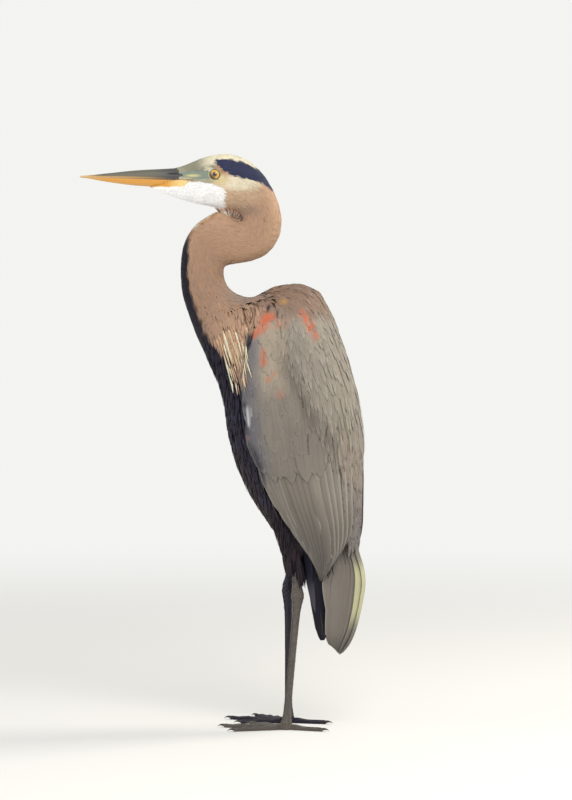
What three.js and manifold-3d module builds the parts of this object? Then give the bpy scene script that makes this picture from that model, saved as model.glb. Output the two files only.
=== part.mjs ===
// A life-size great blue heron, standing at rest with its neck folded in an S.
//
// Millimetres, +Z up. The trunk faces -Y and its left side is +X; the head and the folded neck
// are turned a little to the bird's left. The soles stand at z = 0, and the finished group is
// centred on its own box in X and Y.
//
// Head, neck and trunk are one long sheath between two lines: the under line (chin, foreneck,
// breast, belly) and the over line (crown, nape, back). Thin cuts part it into the pieces that
// a person would name. The folded wings and the mantle are layers that lie over the trunk.
// Bill, eyes, tail, thighs, shanks, tarsi, toes and claws are pieces of their own.
import * as THREE from "three";
import { mergeVertices } from "three/addons/utils/BufferGeometryUtils.js";
import Module from "manifold-3d";

const wasm = await Module();
wasm.setup();

// ---------------------------------------------------------------- driving dimensions

const GAP = 0.35; // clear space left between neighbouring pieces

const NECK_TURN = THREE.MathUtils.degToRad(22); // how far the head looks to the left
const NECK_PIVOT_Y = -118; // the upright line that the neck turns about

const BILL_TIP = [-311, 800]; // y and z before the neck is turned
const BILL_LENGTH = 162; // with the root inside the head
const EYE_RADIUS = 10;
const EYE_CENTRE = [11.4, -115.4, 802.3]; // left eye before the neck is turned

const WING_THICK = 8; // coverts of the folded wing, over the trunk
const FLIGHT_THICK = 6; // long inner flight feathers
const SCAPULAR_THICK = 10; // loose shoulder feathers lie on top
const TAIL_THICK = 6;
const BLADE_THICK = 5.2; // folded outer flight feathers

const STANCE = 33; // each foot's distance from the midline
const LEFT_FOOT_Y = 5;
const RIGHT_FOOT_Y = -13;
const LEFT_LEAN = 17; // the heel stands this far behind the foot
const RIGHT_LEAN = 0;
const HEEL_HEIGHT = 197; // the joint halfway up the leg
const THIGH_END = 232; // the leg feathers stop here
const HUB = 8.5; // radius of the foot where the toes meet
const TOE_HALF = 3.9; // half width of a toe
const TOE_HIGH = 7.6;
const CLAW_LENGTH = 11;

const SIDES = 20; // facets round the body
const FAR = 600; // larger than any piece
const BEHIND = 140; // further back than any feather

// Stations along the bird, from the chin back over the head, round the folded neck and down
// the trunk: [under y, under z, over y, over z, half width].
const STATIONS = [
  [-211, 784, -176, 812, 7], // chin and base of the bill
  [-179, 771, -155, 818, 11.5],
  [-153, 762, -135, 827, 15],
  [-127, 757, -115, 832, 18.5], // through the eyes
  [-107, 753, -95, 833, 20],
  [-89, 750, -73, 827, 20.5],
  [-81, 745, -53, 813, 20.5], // back of the skull
  [-78, 742, -37, 793, 20.5],
  [-77.5, 740.5, -24, 767, 21],
  [-77.5, 739, -17, 737, 21.5], // nape
  [-78, 737.5, -22, 708, 21.5],
  [-80.5, 736.5, -40, 686, 21.5],
  [-86, 738, -63, 676, 21.5], // underside of the rear loop
  [-96, 747, -82, 673, 21.5],
  [-110, 750, -94, 671, 21.5], // top of the forward loop
  [-125, 743, -100, 670, 21.5],
  [-141, 732, -102, 669, 21.5],
  [-153, 718, -102.5, 667.5, 21.5],
  [-162, 697, -102.5, 665, 22],
  [-165, 673, -102, 660, 22.5], // foreneck
  [-165, 650, -101, 649, 23],
  [-162, 625, -92, 635, 25],
  [-154, 600, -76, 626, 29],
  [-144, 573, -52, 625, 38], // root of the neck
  [-131, 548, -25, 641, 51],
  [-118, 519, 14, 645, 62], // shoulders
  [-106, 496, 41, 634, 69],
  [-97, 464, 62, 596, 73],
  [-92, 425, 82, 541, 74], // widest
  [-80, 381, 96, 493, 73],
  [-62, 342, 105.5, 439, 69],
  [-38, 307, 108.5, 374, 64],
  [-12, 272, 107, 302, 57],
  [18, 246, 104, 270, 51], // the trunk stops here
  [36, 226, 100, 248, 45], // and the wing tips go on
  [48, 204, 93, 228, 39],
];
const SKULL_END = 6.6;
const NECK_CUTS = [SKULL_END, 11, 16, 20.5, 23.4];
const SHOULDER = NECK_CUTS.at(-1);
const TRUNK_END = 33;
const LAST = STATIONS.length - 1;
const PART = 0.02; // share of a station left open at each cut

// Seam lines of the folded wing, seen from the side, as [y, z].
const LEADING_EDGE = [
  [-34, 622],
  [-42, 585],
  [-48, 545],
  [-52, 505],
  [-48, 465],
  [-43, 425],
  [-34, 388],
];
const TRAILING_EDGE = [
  [-26, 362],
  [-10, 328],
  [10, 290],
  [32, 250],
  [44, 228],
  [54, 213],
  [64, 216],
  [84, 234],
  [104, 258],
];
const COVERT_EDGE = [
  [0, 372],
  [46, 374],
  [122, 388],
];
const SCAPULAR_EDGE = [
  [6, 596],
  [18, 548],
  [34, 505],
  [54, 466],
  [78, 430],
  [102, 402],
];

// Half width of the mantle down the back, as [x, z].
const MANTLE_EDGE = [
  [22, 690],
  [34, 610],
  [32, 575],
  [25, 530],
  [16, 492],
];
const MANTLE_TIP = 452;
const MANTLE_FRONT = -24;

// Each toe's heading out from straight ahead in degrees, its length and its joints.
const TOES = {
  middle: { turn: 5, length: 84, knuckles: 3 },
  outer: { turn: 34, length: 70, knuckles: 4 },
  inner: { turn: -24, length: 62, knuckles: 2 },
  hind: { turn: 176, length: 48, knuckles: 1 },
};

const COLOURS = {
  white: 0xece8de,
  mauve: 0x9c8273,
  slate: 0x7f8791,
  slateDark: 0x3b3f4a,
  black: 0x22242c,
  rust: 0x8a4a30,
  horn: 0x4c5058,
  orange: 0xd9962f,
  eye: 0xe6b722,
  leg: 0x6e6358,
  claw: 0x2c2723,
};

// ---------------------------------------------------------------- lines and solids

const curve = (points) => new THREE.CatmullRomCurve3(points.map((p) => new THREE.Vector3(...p)));
const smoothstep = (from, to, value) => THREE.MathUtils.smoothstep(value, from, to);

const UNDER = curve(STATIONS.map(([y, z, , , half]) => [half, y, z]));
const OVER = curve(STATIONS.map(([, , y, z, half]) => [half, y, z]));

// Turns a point with the neck: not at all on the trunk, fully from the folded neck upward.
function turned(point) {
  const rising = smoothstep(560, 665, point.z);
  const forward = 1 - smoothstep(-85, -48, point.y);
  const angle = NECK_TURN * rising * Math.max(forward, smoothstep(648, 670, point.z));
  const along = point.y - NECK_PIVOT_Y;
  return new THREE.Vector3(
    point.x * Math.cos(angle) - along * Math.sin(angle),
    NECK_PIVOT_Y + point.x * Math.sin(angle) + along * Math.cos(angle),
    point.z,
  );
}

// A three.js geometry as a solid, turned right side out.
function solid(geometry) {
  const bare = (geometry.index ? geometry.toNonIndexed() : geometry.clone())
    .deleteAttribute("normal")
    .deleteAttribute("uv");
  const merged = mergeVertices(bare, 1e-3);
  const vertProperties = merged.attributes.position.array;
  const triVerts = new Uint32Array(merged.index.array);
  const made = new wasm.Manifold(new wasm.Mesh({ numProp: 3, vertProperties, triVerts }));
  if (made.volume() >= 0) return made;
  const flipped = triVerts.map((_, i) => triVerts[i - (i % 3) + [0, 2, 1][i % 3]]);
  return new wasm.Manifold(new wasm.Mesh({ numProp: 3, vertProperties, triVerts: flipped }));
}

// A closed skin over rings of points, with a flat fan at each end.
function loft(rings) {
  const around = rings[0].length;
  const faces = [];
  for (let i = 0; i + 1 < rings.length; i++) {
    for (let j = 0; j < around; j++) {
      const a = i * around + j;
      const b = i * around + ((j + 1) % around);
      faces.push(a, b, a + around, b, b + around, a + around);
    }
  }
  const end = (rings.length - 1) * around;
  for (let j = 1; j + 1 < around; j++) {
    faces.push(0, j + 1, j);
    faces.push(end, end + j, end + j + 1);
  }
  return solid(new THREE.BufferGeometry().setFromPoints(rings.flat()).setIndex(faces));
}

// A thin plate between two grids of points, closed at its four edges. Each surface gives a
// point for a share along and a place across from -1 to 1.
function plate(rows, columns, upper, lower) {
  const points = [];
  for (const surface of [upper, lower]) {
    for (let i = 0; i <= rows; i++) {
      for (let j = 0; j <= columns; j++) points.push(surface(i / rows, (2 * j) / columns - 1));
    }
  }
  const faces = [];
  const id = (side, i, j) => (side * (rows + 1) + i) * (columns + 1) + j;
  const quad = (a, b, c, d) => faces.push(a, b, c, a, c, d);
  for (let i = 0; i < rows; i++) {
    for (let j = 0; j < columns; j++) {
      quad(id(0, i, j), id(0, i, j + 1), id(0, i + 1, j + 1), id(0, i + 1, j));
      quad(id(1, i, j), id(1, i + 1, j), id(1, i + 1, j + 1), id(1, i, j + 1));
    }
    quad(id(0, i, 0), id(0, i + 1, 0), id(1, i + 1, 0), id(1, i, 0));
    quad(id(0, i, columns), id(1, i, columns), id(1, i + 1, columns), id(0, i + 1, columns));
  }
  for (let j = 0; j < columns; j++) {
    quad(id(0, 0, j), id(1, 0, j), id(1, 0, j + 1), id(0, 0, j + 1));
    quad(id(0, rows, j), id(0, rows, j + 1), id(1, rows, j + 1), id(1, rows, j));
  }
  return solid(new THREE.BufferGeometry().setFromPoints(points).setIndex(faces));
}

// A prism along X over an outline given as [y, z] points.
function sidePrism(outline, near, far) {
  const shape = new THREE.Shape(outline.map(([y, z]) => new THREE.Vector2(y, z)));
  const geometry = new THREE.ExtrudeGeometry(shape, { depth: far - near, bevelEnabled: false });
  const upright = new THREE.Matrix4().makeBasis(
    new THREE.Vector3(0, 1, 0),
    new THREE.Vector3(0, 0, 1),
    new THREE.Vector3(1, 0, 0),
  );
  return solid(geometry.applyMatrix4(upright).translate(near, 0, 0));
}

// A prism along Y over an outline given as [x, z] points.
function backPrism(outline, near, far) {
  return sidePrism(outline.map(([x, z]) => [-x, z]), near, far).rotate([0, 0, 90]);
}

// A round section: centre, its two half axes, and a power above 2 for flatter sides.
function section(centre, across, deep, sides, power = 2) {
  const bulge = (value) => Math.sign(value) * Math.abs(value) ** (2 / power);
  return Array.from({ length: sides }, (_, i) => {
    const angle = (2 * Math.PI * (i + 0.5)) / sides;
    return centre
      .clone()
      .addScaledVector(across, bulge(Math.cos(angle)))
      .addScaledVector(deep, bulge(Math.sin(angle)));
  });
}

// The body's section at a station, its sides and back drawn in by an inset.
function bodySection(station, inset) {
  const under = UNDER.getPoint(station / LAST);
  const over = OVER.getPoint(station / LAST);
  const across = new THREE.Vector3(under.x - inset, 0, 0);
  under.x = 0;
  over.x = 0;
  over.addScaledVector(over.clone().sub(under).normalize(), -inset);
  const deep = over.clone().sub(under).multiplyScalar(0.5);
  return section(under.add(deep), across, deep, SIDES, 2.2).map(turned);
}

// The sheath between two stations. Rings stand on whole steps, so that neighbours match.
function sheath(from, to, step, inset = () => 0) {
  const stations = [from];
  for (let s = Math.floor(from / step + 1) * step; s < to - 0.1; s += step) {
    if (s > from + 0.1) stations.push(s);
  }
  stations.push(to);
  return loft(stations.map((station) => bodySection(station, inset(station))));
}

// A tapering limb through [x, y, z, half width, half depth] stations.
function limb(stations, sides, steps) {
  const spine = curve(stations.map(([x, y, z]) => [x, y, z]));
  const size = curve(stations.map(([, , , half, deep]) => [half, deep, 0]));
  const rings = Array.from({ length: steps + 1 }, (_, i) => {
    const { x: half, y: deep } = size.getPoint(i / steps);
    const across = new THREE.Vector3(half, 0, 0);
    return section(spine.getPoint(i / steps), across, new THREE.Vector3(0, deep, 0), sides);
  });
  return loft(rings);
}

const mirrored = (made) => made.mirror([1, 0, 0]);
const without = (made, cutters) => cutters.reduce((rest, cutter) => rest.subtract(cutter), made);

// The largest body of a solid, so that no crumb of a cut is kept.
function main(made) {
  const bodies = made.decompose();
  return bodies.reduce((best, body) => (body.volume() > best.volume() ? body : best));
}

const bird = new THREE.Group();

function add(name, made, colour, roughness = 0.85) {
  const mesh = made.getMesh();
  const geometry = new THREE.BufferGeometry()
    .setAttribute("position", new THREE.BufferAttribute(new Float32Array(mesh.vertProperties), 3))
    .setIndex(new THREE.BufferAttribute(mesh.triVerts, 1));
  geometry.computeVertexNormals();
  const material = new THREE.MeshStandardMaterial({ color: colour, roughness, metalness: 0 });
  const node = new THREE.Mesh(geometry, material);
  node.name = name;
  bird.add(node);
}

// ---------------------------------------------------------------- bill, eyes, head and neck

// Half of the bill: 1 is the upper half and -1 the lower. Its rings are half rounds that sit on
// the line of the gape: [share of the length, height of the gape, depth, half width].
function billHalf(side, grow = 0) {
  const upper = [
    [0, 0, 1.0, 0.8],
    [0.25, -1.2, 6.0, 3.6],
    [0.5, -2.5, 11.4, 6.2],
    [0.75, -3.7, 14.8, 8.8],
    [1, -5.4, 18.5, 11.4],
  ];
  const lower = [
    [0, -0.35, 1.0, 0.7],
    [0.25, -1.55, 6.4, 3.3],
    [0.5, -2.85, 10.4, 5.7],
    [0.75, -4.05, 11.4, 7.9],
    [1, -5.75, 11.4, 10.2],
  ];
  const [tipY, tipZ] = BILL_TIP;
  const rings = (side > 0 ? upper : lower).map(([share, gape, depth, half]) =>
    Array.from({ length: 10 }, (_, i) => {
      const angle = (Math.PI * i) / 9;
      const out = (half + grow) * Math.cos(angle);
      const up = side * ((depth + 2 * grow) * Math.sin(angle) ** 0.85 - grow);
      return turned(new THREE.Vector3(out, tipY + share * BILL_LENGTH, tipZ + gape + up));
    }),
  );
  return loft(rings);
}

function ball(centre, radius) {
  const geometry = new THREE.SphereGeometry(radius, 14, 8);
  return solid(geometry.translate(centre.x, centre.y, centre.z));
}

function head() {
  const [out, y, z] = EYE_CENTRE;
  const eyes = [
    ["eye_left", turned(new THREE.Vector3(out, y, z))],
    ["eye_right", turned(new THREE.Vector3(-out, y, z))],
  ];
  const sockets = eyes.map(([, centre]) => ball(centre, EYE_RADIUS + GAP));
  const bill = [billHalf(1, GAP), billHalf(-1, GAP)];
  add("head", main(without(sheath(0, SKULL_END, 0.75), [...bill, ...sockets])), COLOURS.white);
  add("bill_upper", billHalf(1), COLOURS.horn, 0.4);
  add("bill_lower", billHalf(-1), COLOURS.orange, 0.4);
  for (const [name, centre] of eyes) add(name, ball(centre, EYE_RADIUS), COLOURS.eye, 0.1);
}

function neck() {
  ["neck_nape", "neck_loop", "neck_front", "neck_root"].forEach((name, i) => {
    add(name, sheath(NECK_CUTS[i] + PART, NECK_CUTS[i + 1] - PART, 0.75), COLOURS.mauve);
  });
}

// ---------------------------------------------------------------- trunk and wings

// The trunk is drawn in beneath the wings; the cutters clear what lies over and below it.
const underWings = (station) => WING_THICK * smoothstep(SHOULDER, SHOULDER + 1.6, station);
const clear = (station) => underWings(station) - GAP;
const trunk = sheath(SHOULDER + PART, TRUNK_END, 1, underWings);
const trunkCutter = sheath(SHOULDER - 0.6, LAST, 1, clear);
const endCutter = sheath(30, TRUNK_END + PART, 1, clear);

// A layer of a given thickness over the trunk.
function layer(thick) {
  return sheath(SHOULDER + 0.05, LAST - 0.25, 1, () => WING_THICK - thick).subtract(trunkCutter);
}

function mantleOutline(grow) {
  const left = MANTLE_EDGE.map(([x, z]) => [x + grow, z]);
  const right = MANTLE_EDGE.toReversed().map(([x, z]) => [-x - grow, z]);
  return [...left, [0, MANTLE_TIP - 2 * grow], ...right];
}

function wings(cutters) {
  const mantle = layer(SCAPULAR_THICK).intersect(
    backPrism(mantleOutline(0), MANTLE_FRONT, BEHIND),
  );
  add("mantle", main(mantle), COLOURS.slate);

  const lower = ([y, z]) => [y, z - GAP];
  const beyond = ([y, z]) => [y + 0.3, z + 0.3];
  const outlines = {
    wing_coverts: [...LEADING_EDGE, ...COVERT_EDGE, ...SCAPULAR_EDGE.toReversed(), [-6, 632]],
    wing_scapulars: [
      ...SCAPULAR_EDGE.map(beyond),
      [BEHIND, 390],
      [BEHIND, 700],
      [-5, 700],
      [-5.4, 632],
    ],
    wing_secondaries: [
      lower(LEADING_EDGE.at(-1)),
      ...TRAILING_EDGE,
      [BEHIND, 275],
      [BEHIND, 387.6],
      ...COVERT_EDGE.toReversed().map(lower),
    ],
  };
  const looks = {
    wing_coverts: [WING_THICK, COLOURS.slate],
    wing_scapulars: [SCAPULAR_THICK, COLOURS.mauve],
    wing_secondaries: [FLIGHT_THICK, COLOURS.slate],
  };
  const all = [...cutters, backPrism(mantleOutline(GAP), MANTLE_FRONT - GAP, BEHIND)];
  for (const [name, outline] of Object.entries(outlines)) {
    const [thick, colour] = looks[name];
    const cover = without(layer(thick), all);
    const left = cover.intersect(sidePrism(outline, GAP / 2, FAR));
    const right = cover.intersect(sidePrism(outline, -FAR, -GAP / 2));
    add(`${name}_left`, main(left), colour);
    add(`${name}_right`, main(right), colour);
  }
}

// Tail: a tented fan behind the wing tips. Ridge of the tail as [half width, y, z].
const RIDGE = curve([
  [15, 95, 306],
  [24, 98, 268],
  [32, 107, 238],
  [37, 110, 216],
  [39, 108, 194],
  [36.5, 103, 168],
  [30, 95, 140],
  [20, 85, 120],
  [9, 76, 108],
]);

function tail(grow = 0) {
  const surface = (depth) => (share, across) => {
    const { x: half, y, z } = RIDGE.getPoint(share);
    const fall = 0.95 * half * Math.abs(across) ** 1.5;
    const thin = depth * (1 - 0.6 * Math.abs(across) ** 3);
    const lift = share < 0.5 ? grow : -grow;
    return new THREE.Vector3((half + grow) * across, y - fall - thin, z + lift + 5 * across ** 2);
  };
  return plate(11, 8, surface(-1.5 * grow), surface(TAIL_THICK + 3 * grow));
}

// Outer flight feathers: the dark folded blade below the wing. Its middle line and half breadth.
const BLADE = curve([
  [35, 40, 298],
  [33, 48, 240],
  [28.5, 52, 195],
  [25.5, 55, 160],
  [24, 56, 131],
]);
const BLADE_BREADTH = curve([12, 16, 15, 11.5, 4].map((half) => [half, 0, 0]));

function blade(grow = 0) {
  const surface = (side) => (share, across) => {
    const point = BLADE.getPoint(share);
    const thick = (BLADE_THICK / 2) * (1 - 0.4 * share) * (1 - 0.5 * across ** 2) + grow;
    point.x += side * thick - 3 * across ** 2;
    point.y += (BLADE_BREADTH.getPoint(share).x + grow) * across;
    point.z += share < 0.5 ? grow : -grow;
    return point;
  };
  return plate(8, 4, surface(1), surface(-1));
}

// ---------------------------------------------------------------- legs

// Places along one leg: the foot, the heel, the end of the bare shank and the hip.
function joints(side, footY, lean) {
  const foot = new THREE.Vector3(side * STANCE, footY, 0);
  const heel = new THREE.Vector3(side * (STANCE - 1), footY + lean, HEEL_HEIGHT);
  const hip = new THREE.Vector3(side * 35, 6, 318);
  return { foot, heel, knee: heel.clone().lerp(hip, 0.3), hip };
}

function thigh(side, footY, lean, grow = 0) {
  const { knee, hip } = joints(side, footY, lean);
  const calf = knee.clone().lerp(hip, 0.4);
  const stations = [
    [knee.x, knee.y, THIGH_END + GAP - grow, 7.6, 9],
    [knee.x + side * 0.5, knee.y - 1, THIGH_END + 12, 10.5, 13],
    [calf.x, calf.y, 270, 15, 19],
    [hip.x, hip.y, 318, 19, 27],
    [hip.x - side * 2, hip.y - 6, 352 + grow, 18, 26],
  ];
  return limb(stations.map(([x, y, z, half, deep]) => [x, y, z, half + grow, deep + grow]), 14, 7);
}

// A section of a toe or claw across its heading, flat beneath.
function toeRing(place, heading, half, high) {
  const outline = [
    [-0.72, 0],
    [-1, 0.34],
    [-0.74, 0.82],
    [0, 1],
    [0.74, 0.82],
    [1, 0.34],
    [0.72, 0],
  ];
  const side = new THREE.Vector3(Math.cos(heading), Math.sin(heading), 0);
  return outline.map(([across, up]) => {
    const point = place.clone().addScaledVector(side, across * half);
    point.z += up * high;
    return point;
  });
}

// A point at a distance from the foot along a heading, where 0 is straight ahead.
function ahead(foot, heading, along, lift = 0) {
  const { x, y } = foot;
  return new THREE.Vector3(
    x + Math.sin(heading) * along,
    y - Math.cos(heading) * along,
    lift,
  );
}

// Toes crowd together where they leave the foot, so each is narrow there.
function toe(foot, heading, { length, knuckles }) {
  const steps = 3 * knuckles + 3;
  const rings = Array.from({ length: steps + 1 }, (_, i) => {
    const share = i / steps;
    const along = HUB + GAP + share * length;
    const swell = 1 + 0.13 * Math.cos(2 * Math.PI * share * knuckles) * (1 - 0.3 * share);
    const size = (1 - 0.34 * share) * swell;
    const half = Math.min(TOE_HALF * size, 0.27 * along - GAP);
    return toeRing(ahead(foot, heading, along), heading, half, TOE_HIGH * size);
  });
  return loft(rings);
}

// Claws arch a little and end just clear of the ground.
function claw(foot, heading, { length }) {
  const steps = 4;
  const rings = Array.from({ length: steps + 1 }, (_, i) => {
    const share = i / steps;
    const along = HUB + 2 * GAP + length + share * CLAW_LENGTH;
    const lift = 1.2 + 1.4 * Math.sin(Math.PI * Math.min(1, share * 1.1)) * (1 - share);
    const place = ahead(foot, heading, along, lift);
    return toeRing(place, heading, 2.3 * (1 - 0.75 * share), 4.4 * (1 - 0.82 * share));
  });
  return loft(rings);
}

function lowerLeg(name, side, footY, lean) {
  const { foot, heel, knee } = joints(side, footY, lean);
  const tarsus = [
    [foot.x, foot.y, 0, HUB, HUB],
    [foot.x, foot.y, 9, HUB - 1, HUB - 0.6],
    [foot.x, foot.y + 0.06 * lean, 17, 5.6, 6.4],
    [foot.x, foot.y + 0.12 * lean, 32, 4.2, 5.2],
    [foot.x, foot.y + 0.5 * lean, 100, 3.9, 4.9],
    [heel.x, heel.y - 0.14 * lean, 168, 4.3, 5.5],
    [heel.x, heel.y - 0.6, 184, 5.8, 7.0],
    [heel.x, heel.y, HEEL_HEIGHT - 3, 8.2, 9.2],
    [heel.x, heel.y, HEEL_HEIGHT + 2, 7.8, 8.8],
  ];
  const shank = [
    [heel.x, heel.y, HEEL_HEIGHT + 2 + GAP, 7.6, 8.6],
    [heel.x, heel.y - 0.6, HEEL_HEIGHT + 9, 6.6, 7.4],
    [heel.x, 0.7 * heel.y + 0.3 * knee.y, HEEL_HEIGHT + 18, 5.6, 6.2],
    [knee.x, knee.y, THIGH_END, 5.8, 6.4],
  ];
  add(`tarsus_${name}`, limb(tarsus, 10, 14), COLOURS.leg, 0.6);
  add(`shank_${name}`, limb(shank, 10, 6), COLOURS.leg, 0.6);
  for (const [toeName, shape] of Object.entries(TOES)) {
    const heading = side * THREE.MathUtils.degToRad(shape.turn);
    add(`toe_${toeName}_${name}`, toe(foot, heading, shape), COLOURS.leg, 0.6);
    add(`claw_${toeName}_${name}`, claw(foot, heading, shape), COLOURS.claw, 0.4);
  }
}

// ---------------------------------------------------------------- the whole bird

const LEGS = [
  ["left", 1, LEFT_FOOT_Y, LEFT_LEAN],
  ["right", -1, RIGHT_FOOT_Y, RIGHT_LEAN],
];
const hung = [tail(GAP), blade(GAP), mirrored(blade(GAP))];
const hips = LEGS.map(([, side, footY, lean]) => thigh(side, footY, lean, GAP));

head();
neck();
add("trunk", main(without(trunk, hips)), COLOURS.slateDark);
wings([...hung, ...hips]);
add("tail", main(tail().subtract(endCutter)), COLOURS.slate);
for (const [name, side, footY, lean] of LEGS) {
  const primaries = side > 0 ? blade() : mirrored(blade());
  add(`wing_primaries_${name}`, main(primaries.subtract(endCutter)), COLOURS.black);
  add(`thigh_${name}`, main(without(thigh(side, footY, lean), hung)), COLOURS.rust);
  lowerLeg(name, side, footY, lean);
}

const box = new THREE.Box3().setFromObject(bird);
bird.position.set(-(box.min.x + box.max.x) / 2, -(box.min.y + box.max.y) / 2, 0);

export default bird;
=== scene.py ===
import math

import bmesh
import bpy
import numpy as np
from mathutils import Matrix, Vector
from mathutils.bvhtree import BVHTree


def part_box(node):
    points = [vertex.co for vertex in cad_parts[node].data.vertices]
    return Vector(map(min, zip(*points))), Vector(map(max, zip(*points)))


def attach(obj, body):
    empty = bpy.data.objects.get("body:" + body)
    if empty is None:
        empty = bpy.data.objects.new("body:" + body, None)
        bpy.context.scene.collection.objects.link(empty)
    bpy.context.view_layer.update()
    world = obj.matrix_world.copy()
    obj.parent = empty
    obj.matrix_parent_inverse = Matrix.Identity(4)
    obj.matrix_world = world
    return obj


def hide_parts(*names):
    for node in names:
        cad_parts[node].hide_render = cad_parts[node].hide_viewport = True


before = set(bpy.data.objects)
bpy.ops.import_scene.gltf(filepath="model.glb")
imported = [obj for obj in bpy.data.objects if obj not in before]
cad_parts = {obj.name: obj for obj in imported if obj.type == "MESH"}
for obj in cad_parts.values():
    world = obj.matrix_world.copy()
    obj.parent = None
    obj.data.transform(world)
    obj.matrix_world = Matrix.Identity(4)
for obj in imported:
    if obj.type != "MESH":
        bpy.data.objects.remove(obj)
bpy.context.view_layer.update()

# ------------------------------------------------------------------ form
# The outer form is the bird with its feathers pressed flat: head, folded neck, trunk, wings and
# thighs run into one closed surface. It isn't shown. Every feather is laid along it.
MM = 0.001
SIDES = {"left": 1, "right": -1}
HEAD_NODES = ["head", "eye_left", "eye_right"]
NECK_NODES = ["neck_nape", "neck_loop", "neck_front", "neck_root"]
WING_NODES = ["mantle"] + [f"wing_{part}_{side}" for part in ("coverts", "scapulars") for side in SIDES]
BODY_NODES = HEAD_NODES + NECK_NODES + ["trunk"] + WING_NODES
FLIGHT_NODES = [f"wing_secondaries_{side}" for side in SIDES]
THIGH_NODES = [f"thigh_{side}" for side in SIDES]
FORM_VOXEL = 2.4 * MM
CLOSE_GAP = 0.25 * MM  # the solids stand a little more than this short of touching


def object_of(name, mesh):
    made = bpy.data.objects.new(name, mesh)
    bpy.context.scene.collection.objects.link(made)
    return made


def applied(obj):
    """The object's mesh with its modifiers applied. The object itself goes."""
    evaluated = obj.evaluated_get(bpy.context.evaluated_depsgraph_get())
    mesh = bpy.data.meshes.new_from_object(evaluated)
    bpy.data.objects.remove(obj)
    return mesh


def merged(name, nodes, voxel, rounds):
    """One closed, evened surface round several solids of the frame."""
    shape = bmesh.new()
    for node in nodes:
        shape.from_mesh(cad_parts[node].data)
    bmesh.ops.remove_doubles(shape, verts=shape.verts, dist=1e-6)
    shape.normal_update()
    for vert in shape.verts:
        vert.co += vert.normal * CLOSE_GAP
    mesh = bpy.data.meshes.new(name)
    shape.to_mesh(mesh)
    shape.free()
    obj = object_of(name, mesh)
    remesh = obj.modifiers.new("merge", "REMESH")
    remesh.mode = "VOXEL"
    remesh.voxel_size = voxel
    relax = obj.modifiers.new("relax", "SMOOTH")
    relax.factor = 0.5
    relax.iterations = rounds
    return applied(obj)


def numbers(items, field):
    found = np.empty(len(items) * 3, np.float32)
    items.foreach_get(field, found)
    return found.reshape(-1, 3).astype(float)


def unit(vectors):
    return vectors / np.maximum(np.linalg.norm(vectors, axis=-1, keepdims=True), 1e-12)


def smooth(low, high, value):
    """0 below low, 1 above high, and a smooth rise between."""
    share = np.clip((value - low) / (high - low), 0, 1)
    return share * share * (3 - 2 * share)


class Surface:
    """A mesh that feathers or scales lie on: the nearest place on it, and the way out there."""

    def __init__(self, mesh):
        self.points = numbers(mesh.vertices, "co")
        out = numbers(mesh.vertices, "normal")
        self.faces = np.array([face.vertices[:] for face in mesh.polygons])
        self.tree = BVHTree.FromPolygons(self.points.tolist(), self.faces.tolist())
        self.out = unit(out[self.faces].mean(1))

    def snap(self, points):
        found = [self.tree.find_nearest(point) for point in points.tolist()]
        return np.array([hit[0] for hit in found]), self.out[[hit[2] for hit in found]]

    def meet(self, starts, ways):
        """Where rays from the starts meet the surface, and which of them do."""
        hits = [self.tree.ray_cast(a, b)[0] for a, b in zip(starts.tolist(), ways.tolist())]
        kept = np.array([hit is not None for hit in hits])
        return np.array([hit for hit in hits if hit is not None]).reshape(-1, 3), kept


form = Surface(merged("form", BODY_NODES + FLIGHT_NODES + THIGH_NODES, FORM_VOXEL, rounds=24))
form_middles = form.points[form.faces].mean(1)

# ------------------------------------------------------------------ line of the body
# The feathers of head, neck and trunk lie along the bird from the bill to the vent, round the
# bends of the folded neck. The line runs through the middle of the body, in millimetres,
# [y, z] before the head and neck are turned to the left.
MIDLINE = [
    (-101, 798), (-62, 797), (-27, 795), (3, 791), (27, 779),  # bill base, eyes, back of the skull
    (42, 759), (46, 738), (38, 716), (20, 707),  # nape and rear bend
    (-8, 710), (-28, 701), (-39, 681), (-40, 655), (-33, 630),  # forward bend and front of the neck
    (-4, 599), (42, 582), (73, 545), (89, 483), (103, 435),  # root of the neck and breast
    (118, 385), (134, 320), (158, 245),  # belly and vent
]
NECK_TURN = math.radians(22)
TURN_Y = -24.3 * MM  # the upright line that the neck turns about


def through(stations, shares):
    """A smooth curve through stations, at shares from 0 to 1 of the way along them."""
    stations = np.asarray(stations, float)
    last = len(stations) - 1
    place = np.clip(shares, 0, 1) * last
    low = np.minimum(place.astype(int), last - 1)
    t = (place - low)[:, None]
    before, a, b, after = (stations[np.clip(low + k, 0, last)] for k in (-1, 0, 1, 2))
    bend = before - 2.5 * a + 2 * b - 0.5 * after
    cube = 1.5 * a - 0.5 * before - 1.5 * b + 0.5 * after
    return a + 0.5 * t * (b - before) + t**2 * bend + t**3 * cube


def neck_angle(points):
    """How far the bird is turned to its left at places given before the turn."""
    y, z = points[:, 1], points[:, 2]
    forward = 1 - smooth(9 * MM, 46 * MM, y)
    return NECK_TURN * smooth(560 * MM, 665 * MM, z) * np.maximum(forward, smooth(648 * MM, 670 * MM, z))


def turned(points):
    angle = neck_angle(points)
    x, along = points[:, 0], points[:, 1] - TURN_Y
    ahead = TURN_Y + x * np.sin(angle) + along * np.cos(angle)
    return np.column_stack([x * np.cos(angle) - along * np.sin(angle), ahead, points[:, 2]])


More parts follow.
